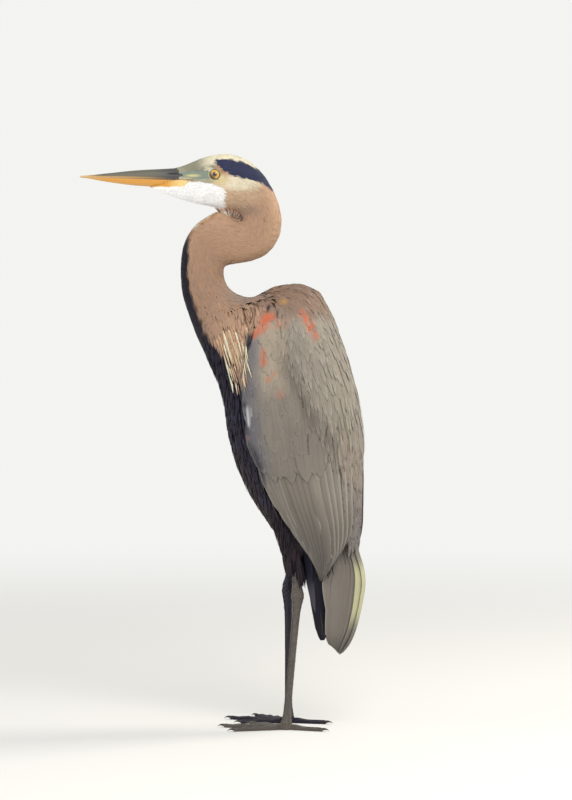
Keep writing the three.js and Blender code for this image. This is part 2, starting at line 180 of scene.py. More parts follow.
flat_line = through(MIDLINE, np.linspace(0, 1, 420)) * MM
flat_line = np.column_stack([np.zeros(len(flat_line)), flat_line])
middle = turned(flat_line)
angles = neck_angle(flat_line)
tailward = unit(np.gradient(middle, axis=0))
leftward = np.column_stack([np.cos(angles), np.sin(angles), np.zeros(len(angles))])
leftward = unit(leftward - tailward * (leftward * tailward).sum(1, keepdims=True))
overward = np.cross(leftward, tailward)
reach_line = np.concatenate([[0], np.cumsum(np.linalg.norm(np.diff(middle, axis=0), axis=1))])


def place_on(points):
    """For each place: the nearest step of the midline, the reach from the bill base in
    millimetres, and the angle round it, 0 beneath and positive on the left."""
    chunks = np.array_split(points, max(1, len(points) // 4000))
    nearest = np.concatenate([((chunk[:, None] - middle) ** 2).sum(2).argmin(1) for chunk in chunks])
    off = points - middle[nearest]
    along = (off * tailward[nearest]).sum(1)
    left = (off * leftward[nearest]).sum(1)
    up = (off * overward[nearest]).sum(1)
    return nearest, (reach_line[nearest] + along) / MM, np.arctan2(left, -up)

# ------------------------------------------------------------------ markings
# The plumage is worked out from the place on the bird, and skin and feathers both take it:
# white face, black stripe over the eye, mauve neck with a black line down its front (its black
# streaks deepened with painted shade), plumes of cream and grey at its root, blue-black breast,
# and grey wings with rust at the shoulder. Some marks below are painted light or shade.
eye_boxes = {side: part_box(f"eye_{side}") for side in SIDES}
eye_centres = {side: np.array((low + high) / 2) for side, (low, high) in eye_boxes.items()}
brow = (eye_centres["left"] + eye_centres["right"]) / 2
AHEAD = np.array([math.sin(NECK_TURN), -math.cos(NECK_TURN), 0])
ASIDE = np.array([math.cos(NECK_TURN), math.sin(NECK_TURN), 0])

# Black stripe on the side of the head: [ahead of the eye, lower edge, upper edge] in mm.
STRIPE = np.array([(-88, -26, -12), (-80, -20, -4), (-70, -13, 6), (-58, -8, 10), (-42, -5, 18),
                   (-27, -0.5, 22), (-12, 8, 23), (0, 17, 21.5)])
# Upper edge of the white of the chin and cheek: [ahead of the eye, height] in mm.
WHITE_EDGE = np.array([(-16, -24), (-9, -18), (0, -13.5), (16, -10.5), (38, -9.5), (44, -16.5),
                       (97, -18.0)])
# The line between the halves of the bill, in the same way.
GAPE = np.array([(30, -7.2), (60, -6), (100, -5)])
# Rust on the wing, seen from the side: [y, z, half width, half height in mm, strength].
RUST = [
    (79, 600, 8, 8, 0.9), (76, 590, 7.5, 8, 0.9), (70, 582, 6, 7, 0.8), (63, 574, 5.5, 7, 0.8),
    (96, 592, 2.5, 8, 0.7), (87, 600, 4, 6, 0.7), (104, 592, 8, 10, 0.25), (127, 604, 4, 6, 0.5),
    (133, 597, 4, 8, 0.85), (140, 586, 4.5, 8, 1.0), (147, 574, 4, 7, 0.85), (76, 549, 4.5, 7, 0.65),
    (77, 536, 5, 7, 0.7), (84, 511, 5, 4.5, 0.6), (93, 519, 3, 3.5, 0.55), (102, 489, 6, 6, 0.3),
    (50, 424, 3, 6, 0.4),
]
# Dark notches at the top of the shoulder, in the same way, and a spot of ochre above them.
NOTCHES = [(79, 612, 2.4, 6, 1.0), (94, 606, 2, 5, 0.9), (102, 601, 2, 4, 0.6)]
OCHRE_SPOT = [(100, 622, 6, 4.5, 0.75)]
# Front and back edges of the folded wing, seen from the side: [z, y] in mm.
FRONT_EDGE = np.array([(213, 148), (228, 138), (250, 126), (290, 104), (328, 84), (362, 68), (388, 60),
                       (425, 51), (465, 46), (505, 42), (545, 46), (585, 52), (622, 60), (650, 76)])
BACK_EDGE = np.array([(213, 150), (222, 163), (234, 177), (258, 193), (285, 199), (302, 201), (374, 202),
                      (439, 199), (493, 190), (541, 176), (596, 156), (634, 135), (650, 110)])
# Lower edge of the loose shoulder feathers over the wing: [z, y] in mm.
SHOULDER_EDGE = np.array([(402, 196), (430, 172), (466, 148), (505, 128), (548, 112), (596, 100),
                          (640, 90)])


def tone(code):
    """A colour as the eye sees it, such as "b08d77", in linear light."""
    seen = np.array([int(code[i : i + 2], 16) for i in (0, 2, 4)]) / 255
    return np.where(seen <= 0.04045, seen / 12.92, ((seen + 0.055) / 1.055) ** 2.4)


WHITE = tone("ffffff")
CREAM = tone("ece4c8")
STRIPE_BLACK = tone("2b3050")
FOREHEAD = tone("908d7a")
LORE = tone("7a867b")
LORE_YELLOW = tone("cfc58a")
SIDE_OF_FACE = tone("b0ab93")
BILL_SIDE = tone("e4c684")
BILL_ORANGE = tone("d3963f")
GAPE_BROWN = tone("7d5a48")
BROW_BROWN = tone("97805f")
EYE_YELLOW = tone("e0cfa0")
CHEEK = tone("f4e8cb")
MAUVE = tone("b8937a")
WARM_MAUVE = tone("c8a184")
NAPE_WARM = tone("dab291")
NECK_PALE = tone("d6b797")
GREY_MAUVE = tone("978578")
BLUE_BLACK = tone("1f1a29")
FORENECK_BLACK_WITH_SHADE = tone("150f20")
BELLY_BROWN = tone("3b302e")
BREAST_GREY = tone("343550")
THROAT_DASH = tone("c98f5e")
WING_HIGH = tone("a79a89")
WING_MID = tone("827b72")
WING_LOW = tone("645f59")
WING_BLUE = tone("66666f")
CAP_BROWN = tone("836857")
SHOULDER_GREY = tone("938b7f")
SCAPULAR_SHADOW_TONE = tone("70685f")
RUST_RED = tone("c46a4a")
OCHRE = tone("b98a50")
# The thighs' dark chestnut, deepened with painted shade.
THIGH_SHADED_DARK = tone("17131d")
THIGH_BROWN = tone("2e2229")
# The near (left) leg has its own grey-brown; the far (right) leg's tone is painted much darker as shade.
LEG_TONES_FAR_SHADED = {"left": tone("5c554f"), "right": tone("211c2b")}
# Soft patches on the side of the head: [tone, ahead, high, half length, half height in mm, reach of
# the soft rim and of the full tone in half lengths, strength].
FACE_PATCHES = [
    (NECK_PALE, -26, -28, 46, 22, 1.3, 0.4, 0.8),
    (CHEEK, -36, -11, 34, 13, 1.3, 0.45, 1.0),
    (EYE_YELLOW, -7, -7, 15, 9, 1.2, 0.4, 1.0),
    (BROW_BROWN, -9, 6, 8, 5, 1.3, 0.5, 0.6),
]


def over(base, colour, share):
    """The base with this share of the colour laid over it, place by place."""
    return base + (colour - base) * np.clip(share, 0, 1)[..., None]


def patch(across, up, middle_across, middle_up, half_across, half_up, rim, full, uneven=0.0):
    """Share of a soft oval patch at each place: none past its rim, all of it within full."""
    far = np.hypot((across - middle_across) / half_across, (up - middle_up) / half_up)
    return smooth(rim, full, far + uneven)


def edge_at(edge, at, column=1):
    """How far across an edge lies at these places along it."""
    return np.interp(at, edge[:, 0], edge[:, column])


def past(edge, points):
    """How far places on the wing lie behind one of its edges, in millimetres."""
    return points[:, 1] / MM - edge_at(edge, points[:, 2] / MM)


def ripple(points, size, seed):
    """A soft, uneven change over the body, from about -1 to 1, over this size in metres."""
    dice = np.random.default_rng(seed)
    waves = dice.normal(size=(6, 3)) / size
    return np.sin(points @ waves.T + dice.uniform(0, 6.28, 6)).mean(1) * 1.6


def face_place(points):
    """Ahead of the eyes, out to the left, and above them, in millimetres."""
    off = (points - brow) / MM
    return off @ AHEAD, off @ ASIDE, off[:, 2]


def head_tone(points, colour):
    ahead, _, high = face_place(points)
    fray = 1.2 * ripple(points, 1.6 * MM, 3)
    lower, upper = edge_at(STRIPE, ahead), edge_at(STRIPE, ahead, 2)
    edge = edge_at(WHITE_EDGE, ahead)
    for mark, *place, strength in FACE_PATCHES:
        colour = over(colour, mark, strength * patch(ahead, high, *place))
    colour = over(colour, FOREHEAD, smooth(-8, 6, ahead) * smooth(-3, 5, high))
    colour = over(colour, SIDE_OF_FACE, smooth(0, 8, ahead) * smooth(6, -2, high))
    top = smooth(12, 20, high + 0.25 * ahead + fray)
    top = np.where(ahead < -4, smooth(upper - 1, upper + 0.6, high + fray), top)
    colour = over(colour, CREAM, top * smooth(30, 2, ahead) * smooth(-76, -66, ahead))
    colour = over(colour, CREAM, 0.7 * patch(ahead, high, 9, 7, 8, 5, 1.2, 0.5))
    half_lore = np.interp(ahead, [4, 10, 22, 44, 58], [3, 6.5, 6.5, 4, 2])
    lore = smooth(half_lore + 2.0, half_lore - 1.5, np.abs(high - 0.5) + 0.6 * fray)
    colour = over(colour, LORE, lore * smooth(4, 9, ahead))
    colour = over(colour, LORE_YELLOW, 0.8 * patch(ahead, high, 32, -0.8, 11, 2.4, 1.4, 0.2))
    black = smooth(lower - 1.5, lower + 1, high + fray) * smooth(upper + 1.2, upper - 0.6, high + fray)
    colour = over(colour, STRIPE_BLACK, black * smooth(3, -4, ahead) * smooth(-92, -86, ahead))
    gape = edge_at(GAPE, ahead)
    # Painted shade: a greyer patch on the side of the neck under the jaw.
    colour = over(colour, GREY_MAUVE, 0.5 * patch(ahead, high, -50, -56, 16, 14, 1.4, 0.4))
    side_horn = over(BILL_SIDE, BILL_ORANGE, smooth(48, 74, ahead))
    on_bill = smooth(32, 43, ahead + fray) * smooth(0.5, -0.5, high - gape)
    colour = over(colour, side_horn, on_bill)
    colour = over(colour, GAPE_BROWN, 0.8 * smooth(1.3, 0.4, np.abs(high - gape)) * smooth(26, 34, ahead))
    white = smooth(edge + 1, edge - 1.2, high + 0.7 * fray) * smooth(-18, -11, ahead + fray)
    return over(colour, WHITE, white)


def front_notch(points):
    """The dark line where the neck's feathers end against the front edge of the wing."""
    z = points[:, 2] / MM
    off = past(FRONT_EDGE, points) - np.interp(z, [526, 568], [-0.5, 6.5])
    return smooth(4, 2, off) * smooth(-7, -4.5, off) * smooth(512, 526, z) * smooth(582, 570, z)


def wing_tone(points):
    y, z = points[:, 1] / MM, points[:, 2] / MM
    front, shoulder = past(FRONT_EDGE, points), past(SHOULDER_EDGE, points)
    fray = ripple(points, 9 * MM, 5)
    colour = np.tile(WING_MID, (len(points), 1))
    colour = over(colour, WING_HIGH, smooth(470, 540, z + 10 * fray))
    colour = over(colour, WING_LOW, smooth(350, 250, z))
    blue = smooth(36, 10, front + 5 * fray) * smooth(340, 400, z) * smooth(584, 560, z)
    colour = over(colour, WING_BLUE, 0.8 * blue)
    colour = over(colour, SHOULDER_GREY, smooth(-4, 8, shoulder) * smooth(380, 420, z))
    # Painted shadow: a darker band along the lower edge of the loose shoulder feathers, where they overhang
    # the coverts.
    scapular_shadow = smooth(-26, -8, shoulder + 4 * fray) * smooth(12, -2, shoulder) * smooth(570, 520, z)
    colour = over(colour, SCAPULAR_SHADOW_TONE, 0.8 * scapular_shadow * smooth(370, 400, z))
    colour = over(colour, CAP_BROWN, 0.9 * smooth(588, 615, z + 6 * fray))
    nape = smooth(14, 8, front + 1.5 * fray) * smooth(566, 578, z) * smooth(622, 606, z)
    colour = over(colour, MAUVE * 0.88, nape)
    uneven = 0.35 * ripple(points, 4 * MM, 9)
    for mark, spots in ((RUST_RED, RUST), (BLUE_BLACK, NOTCHES), (OCHRE, OCHRE_SPOT)):
        for *place, strength in spots:
            colour = over(colour, mark, strength * patch(y, z, *place, 1.45, 0.35, uneven))
    colour = over(colour, BLUE_BLACK, front_notch(points))
    # Painted shadow: a dark patch in the hollow at the wing's front edge, below the wrist.
    wrist_shadow_half = np.interp(z, [350, 385, 416], [2, 12, 2])
    shade = smooth(wrist_shadow_half + 4, wrist_shadow_half - 2, front + 2 * fray) * smooth(338, 356, z) * smooth(428, 410, z)
    colour = over(colour, BLUE_BLACK, 0.8 * shade)
    colour = over(colour, BLUE_BLACK, smooth(4, 2, front) * smooth(426, 436, z) * smooth(484, 472, z))
    pale_edge = 0.55 * smooth(1.6, 0.6, np.abs(front - 4.4)) * smooth(430, 440, z) * smooth(472, 464, z)
    colour = over(colour, WHITE, pale_edge)
    return over(colour, colour * 0.82, 0.5 + 0.5 * ripple(points, 26 * MM, 8))


def body_tone(points):
    """Colour of head, neck and trunk at places on the form."""
    _, reach, round_angle = place_on(points)
    side = np.abs(np.degrees(round_angle))
    z = points[:, 2] / MM
    soft = ripple(points, 12 * MM, 1)
    fray = ripple(points, 2.5 * MM, 2)
    colour = np.tile(MAUVE, (len(points), 1))
    colour = over(colour, WARM_MAUVE, 0.5 + 0.5 * soft + 0.4 * smooth(320, 240, reach))
    colour = over(colour, colour * 0.86, smooth(300, 380, reach))
    # Painted light: the back of the upper neck is made lighter and warmer, standing in for the sunlit rim
    # on that edge.
    nape = 0.8 * smooth(95, 150, side) * smooth(130, 160, reach) * smooth(250, 215, reach)
    colour = over(colour, NAPE_WARM, nape)
    front_bend = 0.4 * smooth(60, 20, side) * smooth(235, 250, reach) * smooth(330, 290, reach)
    colour = over(colour, NAPE_WARM, front_bend)
    colour = over(colour, GREY_MAUVE, smooth(110, 160, side) * smooth(330, 400, reach))
    colour = over(colour, GREY_MAUVE, 0.35 * smooth(-0.2, 0.8, fray) * smooth(260, 330, reach))
    throat = smooth(20, 4, side + 5 * fray) * smooth(120, 170, reach) * smooth(300, 270, reach)
    colour = over(colour, CREAM, 0.8 * throat)
    dashes = smooth(26, 14, side) * smooth(235, 250, reach) * smooth(300, 290, reach)
    colour = over(colour, THROAT_DASH, dashes * smooth(0, 0.6, fray))
    # The black line down the front of the neck is partly its own black streaks and partly painted shade: it
    # is painted solid, deep black where that side lies in shadow.
    half_line = np.interp(reach, [278, 298, 420, 470], [14, 38, 46, 54])
    line = smooth(half_line + 5, half_line - 5, side + 5 * fray) * smooth(272, 288, reach)
    colour = over(colour, FORENECK_BLACK_WITH_SHADE, line)
    breast = smooth(505, 478, z + 8 * fray) * smooth(390, 440, reach)
    colour = over(colour, BLUE_BLACK, breast)
    colour = over(colour, BREAST_GREY, breast * 0.55 * smooth(0.25, 0.9, ripple(points, 5 * MM, 6)))
    flank = smooth(70, 110, side) * smooth(430, 480, reach)
    colour = over(colour, BLUE_BLACK, flank)
    colour = over(colour, BELLY_BROWN, 0.7 * smooth(45, 15, side) * smooth(430, 360, z))
    colour = over(colour, WING_MID, smooth(112, 128, side) * smooth(450, 490, reach))
    colour = over(colour, BLUE_BLACK, front_notch(points) * smooth(360, 380, reach))
    rise = smooth(208, 190, reach)
    return over(colour, head_tone(points, colour), rise * smooth(740 * MM, 750 * MM, points[:, 2]))


TOES = ("middle", "outer", "inner", "hind")
LEG_NODES = [f"{part}_{side}" for part in ("shank", "tarsus") for side in SIDES]
LEG_NODES += [f"toe_{toe}_{side}" for toe in TOES for side in SIDES]

# Which solid of the frame each place on the form belongs to.
label_names = BODY_NODES + FLIGHT_NODES + THIGH_NODES + LEG_NODES
label_points, label_faces, label_of = [], [], []
for number, name in enumerate(label_names):
    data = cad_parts[name].data
    label_faces += [[v + len(label_points) for v in face.vertices] for face in data.polygons]
    label_of += [number] * len(data.polygons)
    label_points += [vert.co[:] for vert in data.vertices]
label_tree = BVHTree.FromPolygons(label_points, label_faces)
label_of = np.array(label_of)


def solid_at(points):
    return label_of[[label_tree.find_nearest(point)[2] for point in points.tolist()]]


def is_one_of(labels, names):
    return np.isin(labels, [label_names.index(name) for name in names])


WING_ALL = WING_NODES + FLIGHT_NODES
form_labels = solid_at(form_middles)


def thigh_tone(points):
    return over(THIGH_SHADED_DARK, THIGH_BROWN, 0.5 + 0.5 * ripple(points, 8 * MM, 12))


def plumage(points):
    """The bird's colour at places on or near its form."""
    labels = solid_at(points)
    colour = body_tone(points)
    wing = is_one_of(labels, WING_ALL)
    colour[wing] = wing_tone(points[wing])
    thigh = is_one_of(labels, THIGH_NODES)
    colour[thigh] = thigh_tone(points)[thigh]
    for side, leg_tone in LEG_TONES_FAR_SHADED.items():
        colour[is_one_of(labels, [name for name in LEG_NODES if name.endswith(side)])] = leg_tone
    return colour

# ------------------------------------------------------------------ finishes shared by the coat
# Feather barbs run out and forward from a shaft. They are too fine to model one by one, so
# colour, roughness and bump carry them, along each vane's own length and width.
COLOUR_NAME = "plumage"
VANE_MAP = "vane"


def group_of(name, inputs, outputs):
    group = bpy.data.node_groups.new(name, "ShaderNodeTree")
    for socket, kind, value in inputs:
        made = group.interface.new_socket(name=socket, in_out="INPUT", socket_type=kind)
        if value is not None:
            made.default_value = value
    for socket, kind in outputs:
        group.interface.new_socket(name=socket, in_out="OUTPUT", socket_type=kind)
    return group, group.nodes.new("NodeGroupInput"), group.nodes.new("NodeGroupOutput")


def node(tree, kind, values=(), **settings):
    """A shader node with its settings made and its inputs set or joined, in socket order."""
    made = tree.nodes.new("ShaderNode" + kind)
    for key, value in settings.items():
        setattr(made, key, value)
    for socket, value in values:
        if isinstance(value, bpy.types.NodeSocket):
            tree.links.new(value, made.inputs[socket])
        else:
            made.inputs[socket].default_value = value
    return made


def maths(tree, operation, *values):
    return node(tree, "Math", enumerate(values), operation=operation).outputs[0]


def times(tree, colour, light):
    """The colour made lighter or darker, times a light near 1."""
    shade = node(tree, "CombineXYZ", [(0, light), (1, light), (2, light)])
    made = tree.nodes.new("ShaderNodeMix")
    made.data_type = "RGBA"
    made.blend_type = "MULTIPLY"
    sockets = {socket.name: socket for socket in made.inputs if socket.enabled}
    sockets["Factor"].default_value = 1.0
    tree.links.new(colour, sockets["A"])
    tree.links.new(shade.outputs[0], sockets["B"])
    return next(socket for socket in made.outputs if socket.enabled)


def finish(name, group, relief_depth, bump, sockets, values):
    """A material whose colour comes with the mesh and whose fine detail comes from a shared group.
    The sockets are set on the shader, and the values on the group."""
    material = bpy.data.materials.new(name)
    material.use_nodes = True
    tree = material.node_tree
    surface = tree.nodes["Principled BSDF"]
    detail = tree.nodes.new("ShaderNodeGroup")
    detail.node_tree = group
    for socket, value in values.items():
        detail.inputs[socket.replace("_", " ").capitalize()].default_value = value
    colour_in = node(tree, "Attribute", attribute_name=COLOUR_NAME)
    tree.links.new(colour_in.outputs["Color"], detail.inputs["Colour"])
    tree.links.new(detail.outputs["Colour"], surface.inputs["Base Color"])
    tree.links.new(detail.outputs["Roughness"], surface.inputs["Roughness"])
    height = detail.outputs["Height"]
    relief = node(tree, "Bump", [("Strength", bump), ("Distance", relief_depth), ("Height", height)])
    tree.links.new(relief.outputs[0], surface.inputs["Normal"])
    for socket, value in sockets.items():
        surface.inputs[socket].default_value = value
    return material


FLOAT, COLOUR = "NodeSocketFloat", "NodeSocketColor"
barbs, into, out_of = group_of(
    "Feather barbs",
    [
        ("Colour", COLOUR, None),
        ("Barbs", FLOAT, 30.0),
        ("Slant", FLOAT, 6.0),
        ("Shaft width", FLOAT, 0.04),
        ("Shaft darkening", FLOAT, 0.3),
        ("Mottle size", FLOAT, 90.0),
        ("Mottle", FLOAT, 0.2),
    ],
    [("Colour", COLOUR), ("Roughness", FLOAT), ("Height", FLOAT)],
)
vane_place = node(barbs, "UVMap", uv_map=VANE_MAP)
vane_axes = node(barbs, "SeparateXYZ", [(0, vane_place.outputs[0])])
from_shaft = maths(barbs, "ABSOLUTE", maths(barbs, "SUBTRACT", vane_axes.outputs[0], 0.5))
barb_count = maths(barbs, "MULTIPLY", vane_axes.outputs[1], into.outputs["Barbs"])
barb_slant = maths(barbs, "MULTIPLY", from_shaft, into.outputs["Slant"])
barb_phase = maths(barbs, "SUBTRACT", barb_count, barb_slant)
barb_wave = maths(barbs, "SINE", maths(barbs, "MULTIPLY", barb_phase, 2 * math.pi))
on_shaft = maths(barbs, "LESS_THAN", from_shaft, into.outputs["Shaft width"])
body_place = node(barbs, "TexCoord").outputs["Object"]
mottle_inputs = [("Vector", body_place), ("Scale", into.outputs["Mottle size"]), ("Detail", 3.0)]
mottle = node(barbs, "TexNoise", mottle_inputs)
light = maths(barbs, "MULTIPLY", maths(barbs, "SUBTRACT", mottle.outputs[0], 0.5), into.outputs["Mottle"])
light = maths(barbs, "ADD", light, maths(barbs, "MULTIPLY", barb_wave, 0.05))
light = maths(barbs, "ADD", light, 1.0)
shaft_dark = maths(barbs, "MULTIPLY", on_shaft, into.outputs["Shaft darkening"])
light = maths(barbs, "SUBTRACT", light, shaft_dark)
barbs.links.new(times(barbs, into.outputs["Colour"], light), out_of.inputs["Colour"])
rough = maths(barbs, "ADD", maths(barbs, "MULTIPLY", mottle.outputs[0], 0.2), 0.55)
barbs.links.new(rough, out_of.inputs["Roughness"])
height = maths(barbs, "ADD", barb_wave, maths(barbs, "MULTIPLY", on_shaft, 2.0))
barbs.links.new(height, out_of.inputs["Height"])


def feather_finish(name, bump=0.15, sheen=0.0, **values):
    """Soft, dull finish of a group of feathers."""
    return finish(name, barbs, 0.0004, bump, {"Specular IOR Level": 0.25, "Sheen Weight": sheen}, values)


def painted(mesh, colours):
    layer = mesh.color_attributes.new(COLOUR_NAME, "FLOAT_COLOR", "POINT")
    rgba = np.column_stack([np.clip(colours, 0, 1), np.ones(len(colours))])
    layer.data.foreach_set("color", rgba.astype(np.float32).ravel())

# ------------------------------------------------------------------ skin
# One skin covers all the flesh. It lies inside the outer form by the depth of the coat: almost
# none on the face, a few millimetres on the body, and none on the bare legs and toes.
SKIN_VOXEL = 1.1 * MM
SKIN_ROUNDS = 14
COVERED_HEIGHTS = (238 * MM, 742 * MM)  # between which feathers hide the skin
COVERED_SHARE = 0.22  # of the facets kept there
skin_mesh = merged("skin", BODY_NODES + THIGH_NODES + LEG_NODES, SKIN_VOXEL, SKIN_ROUNDS)
skin = object_of("skin", skin_mesh)
high = numbers(skin_mesh.vertices, "co")[:, 2]
hidden = (high > COVERED_HEIGHTS[0]) & (high < COVERED_HEIGHTS[1])
covered = skin.vertex_groups.new(name="covered")
covered.add(np.flatnonzero(hidden).tolist(), 1.0, "REPLACE")
thinned = skin.modifiers.new("thin out", "DECIMATE")
thinned.ratio = COVERED_SHARE
thinned.vertex_group = "covered"
skin_mesh = applied(skin)
skin = object_of("skin", skin_mesh)

on_form = numbers(skin_mesh.vertices, "co")
outward = numbers(skin_mesh.vertices, "normal")
skin_labels = solid_at(on_form)
_, skin_reach, _ = place_on(on_form)
depth = np.interp(skin_reach, [60, 130, 240, 420], [0.7, 1.4, 2.4, 4.0]) * MM
depth[is_one_of(skin_labels, LEG_NODES)] = 0
depth *= smooth(232 * MM, 246 * MM, on_form[:, 2])
skin_mesh.vertices.foreach_set("co", (on_form - outward * depth[:, None]).astype(np.float32).ravel())
skin_mesh.update()

# Round each eye the skin rises in two lids and dips under the ball inside them.
EYE_RADIUS = 10.0
LID_OPEN = 6.9  # radius of the opening, in millimetres
LID_OUTER = 9.6
LID_RISE = 0.9
LID_SKIN = tone("b7b184")
LID_EDGE = tone("3a3630")
LID_FINE = 12.5  # within which the skin's facets are split finer
EYE_ROUND = (10.5, 15)  # the ring of the form that shows which way the eye faces
eye_axes = {}
for side, centre in eye_centres.items():
    gap = np.linalg.norm(form_middles - centre, axis=1)
    ring = (gap > EYE_ROUND[0] * MM) & (gap < EYE_ROUND[1] * MM)
    ring &= (form.out @ ASIDE) * SIDES[side] > 0.2
    eye_axes[side] = unit(form.out[ring].mean(0))


def by_an_eye(place):
    return any((place - Vector(centre)).length < LID_FINE * MM for centre in eye_centres.values())


lids = bmesh.new()
lids.from_mesh(skin_mesh)
close = [edge for edge in lids.edges if by_an_eye(edge.verts[0].co)]
bmesh.ops.subdivide_edges(lids, edges=close, cuts=3, use_grid_fill=True)
for side, centre in eye_centres.items():
    axis = Vector(eye_axes[side])
    for vert in lids.verts:
        off = (vert.co - Vector(centre)) / MM
        rise = off.dot(axis)
        across = off - axis * rise
        away = across.length
        if away > LID_OUTER or rise < 0 or away < 1e-6:
            continue
        dome = math.sqrt(max(EYE_RADIUS**2 - away**2, 1.0))
        if away < LID_OPEN - 0.15:
            rise = dome - 1.2
        else:
            away = max(away, LID_OPEN)
            share = (away - LID_OPEN) / (LID_OUTER - LID_OPEN)
            lid = dome + 0.25 + LID_RISE * math.sin(math.pi * min(1, share * 0.85 + 0.15))
            rise = lid + (rise - lid) * float(smooth(0.55, 1.0, share))
        vert.co = Vector(centre) + (axis * rise + across.normalized() * away) * MM
lids.to_mesh(skin_mesh)
lids.free()
skin_mesh.shade_smooth()
on_skin = numbers(skin_mesh.vertices, "co")
skin_colours = plumage(on_skin)
for side, centre in eye_centres.items():
    off = (on_skin - centre) / MM
    away = np.linalg.norm(off - (off @ eye_axes[side])[:, None] * eye_axes[side], axis=1)
    near = smooth(LID_OUTER + 0.6, LID_OUTER - 0.8, away) * ((off @ eye_axes[side]) > 0)
    skin_colours = over(skin_colours, LID_SKIN, near)
    skin_colours = over(skin_colours, LID_EDGE, near * smooth(LID_OPEN + 1.3, LID_OPEN + 0.3, away))
painted(skin_mesh, skin_colours)
vane_map = skin_mesh.uv_layers.new(name=VANE_MAP)
vane_map.uv.foreach_set("vector", np.full(len(skin_mesh.loops) * 2, 0.25, np.float32))
skin_mesh.materials.append(feather_finish("Skin", mottle_size=400.0, mottle=0.35))
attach(skin, "root")
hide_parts("head", "trunk", *NECK_NODES, *WING_NODES, *THIGH_NODES, *LEG_NODES)

# ------------------------------------------------------------------ laying feathers
# A feather grows from the skin, lies back along the body over the ones behind it, and ends in a
# free tip. Each is a thin closed vane, swept along a line that is combed over the outer form.
BAKE_MAP = "OFBake"
PATCH = 0.003  # of the bake's map, across one small feather
TRIANGLE_LIMIT = 200_000
EDGE_TURN = 0.2  # how far the edges of a soft feather face aside


def flat_on(out, ways):
    """Ways turned to lie along the surface."""
    return unit(ways - out * (ways * out).sum(1, keepdims=True))


def combed(roots, lengths, steps, lie, surface=form):
    """Lines from the roots that follow the lie of the coat, and the way out along them."""
    place, out = surface.snap(roots)
    heading = flat_on(out, lie(place))
    line, outs = [place], [out]
    for _ in range(steps):
        ahead = place + heading * (lengths / steps)[:, None]
        near, near_out = surface.snap(ahead)
        far = np.linalg.norm(near - ahead, axis=1)
        held = (far < 0.4 * lengths / steps) & ((near_out * out).sum(1) > 0.6)
        place = np.where(held[:, None], near, ahead)
        out = np.where(held[:, None], near_out, out)
        heading = flat_on(out, heading + flat_on(out, lie(place)))
        line.append(place)
        outs.append(out)
    return np.stack(line, 1), np.stack(outs, 1)


def walls_between(steps, around):
    """The four corners of each wall of a tube, as [step, place round], and their point numbers."""
    i, j = np.meshgrid(np.arange(steps - 1), np.arange(around), indexing="ij")
    corners = [(i, j), (i, j + 1), (i + 1, j + 1), (i + 1, j)]
    return corners, np.stack([a * around + b % around for a, b in corners], -1).reshape(-1, 4)


def vanes(line, out, half, shape, lift, colour, cells, across=3, camber=0.15, thick=0.3 * MM, tint=None):
    """Closed vanes along lines: half widths, their share along the length, and the height of each
    step over the form. colour is one for each vane or step, or a rule for the vane's own points.
    cells are their places on the bake's map: [u, v, width, height]."""
    count, steps, _ = line.shape
    heading = unit(np.gradient(line, axis=1))
    side = unit(np.cross(heading, out))
    top = np.linspace(-1, 1, across)
    ring = np.concatenate([top, top[-2:0:-1]])
    ridge = np.concatenate([1 - top**2, np.zeros(across - 2)])
    around = len(ring)
    wide = half[:, None] * shape
    rise = lift[..., None] - camber * wide[..., None] * ring**2 + thick * ridge * shape[:, None] ** 0.5
    middle_line = line[:, :, None] + side[:, :, None] * (wide[..., None] * ring)[..., None]
    points = middle_line + out[:, :, None] * rise[..., None]
    facing = np.where(ridge > 0, 1.0, np.where(np.arange(around) < across, 1.0, -1.0))
    facings = out[:, :, None] * facing[:, None] + side[:, :, None] * (EDGE_TURN * ring)[:, None]
    share = np.linspace(0, 1, steps)
    if callable(colour):
        colours = colour(points)
    else:
        colour = colour[:, None] if colour.ndim == 2 else colour
        colours = np.broadcast_to(colour[:, :, None], (count, steps, around, 3))
    if tint is not None:
        colours = tint(colours, np.broadcast_to(share[:, None], (steps, around)), np.abs(ring))

    corners, walls = walls_between(steps, around)
    wall_u = np.stack([b / around for _, b in corners], -1).reshape(-1)
    wall_v = np.stack([share[a] for a, _ in corners], -1).reshape(-1)
    ends = np.concatenate([np.arange(around)[::-1], (steps - 1) * around + np.arange(around)])
    order = np.concatenate([walls.ravel(), ends])
    u = np.concatenate([wall_u, (ends % around + 0.5) / around])
    v = np.concatenate([wall_v, share[ends // around]])
    loops = (order + (np.arange(count) * steps * around)[:, None]).ravel()
    sizes = np.tile(np.concatenate([np.full(len(walls), 4), [around, around]]), count)
    bake = cells[:, None, :2] + np.stack([u, v], -1) * cells[:, None, 2:]
    vane = np.stack([(ring[order % around] + 1) / 2, share[order // around]], -1)
    return {
        "points": points.reshape(-1, 3),
        "facings": unit(facings).reshape(-1, 3),
        "colours": colours.reshape(-1, 3),
        "loops": loops,
        "sizes": sizes,
        "bake": bake.reshape(-1, 2),
        "vane": np.tile(vane, (count, 1)),
    }


def tuft_cells(line):
    """Each small feather's patch, at its root's place on an unwrap of the body: reach along the
    midline and angle round it."""
    _, reach, angle = place_on(line[:, 0])
    flat = np.column_stack([reach, angle])
    low, high = flat.min(0), flat.max(0)
    spot = (flat - low) / (high - low) * (1 - 3 * PATCH) + PATCH
    return np.column_stack([spot, np.full((len(spot), 2), PATCH)])


def shown(name, mesh, material, nodes):
    """A finished mesh as a piece on the body, in place of these nodes of the frame."""
    mesh.materials.append(material)
    piece = object_of(name, mesh)
    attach(piece, "root")
    if nodes:
        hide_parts(*nodes)


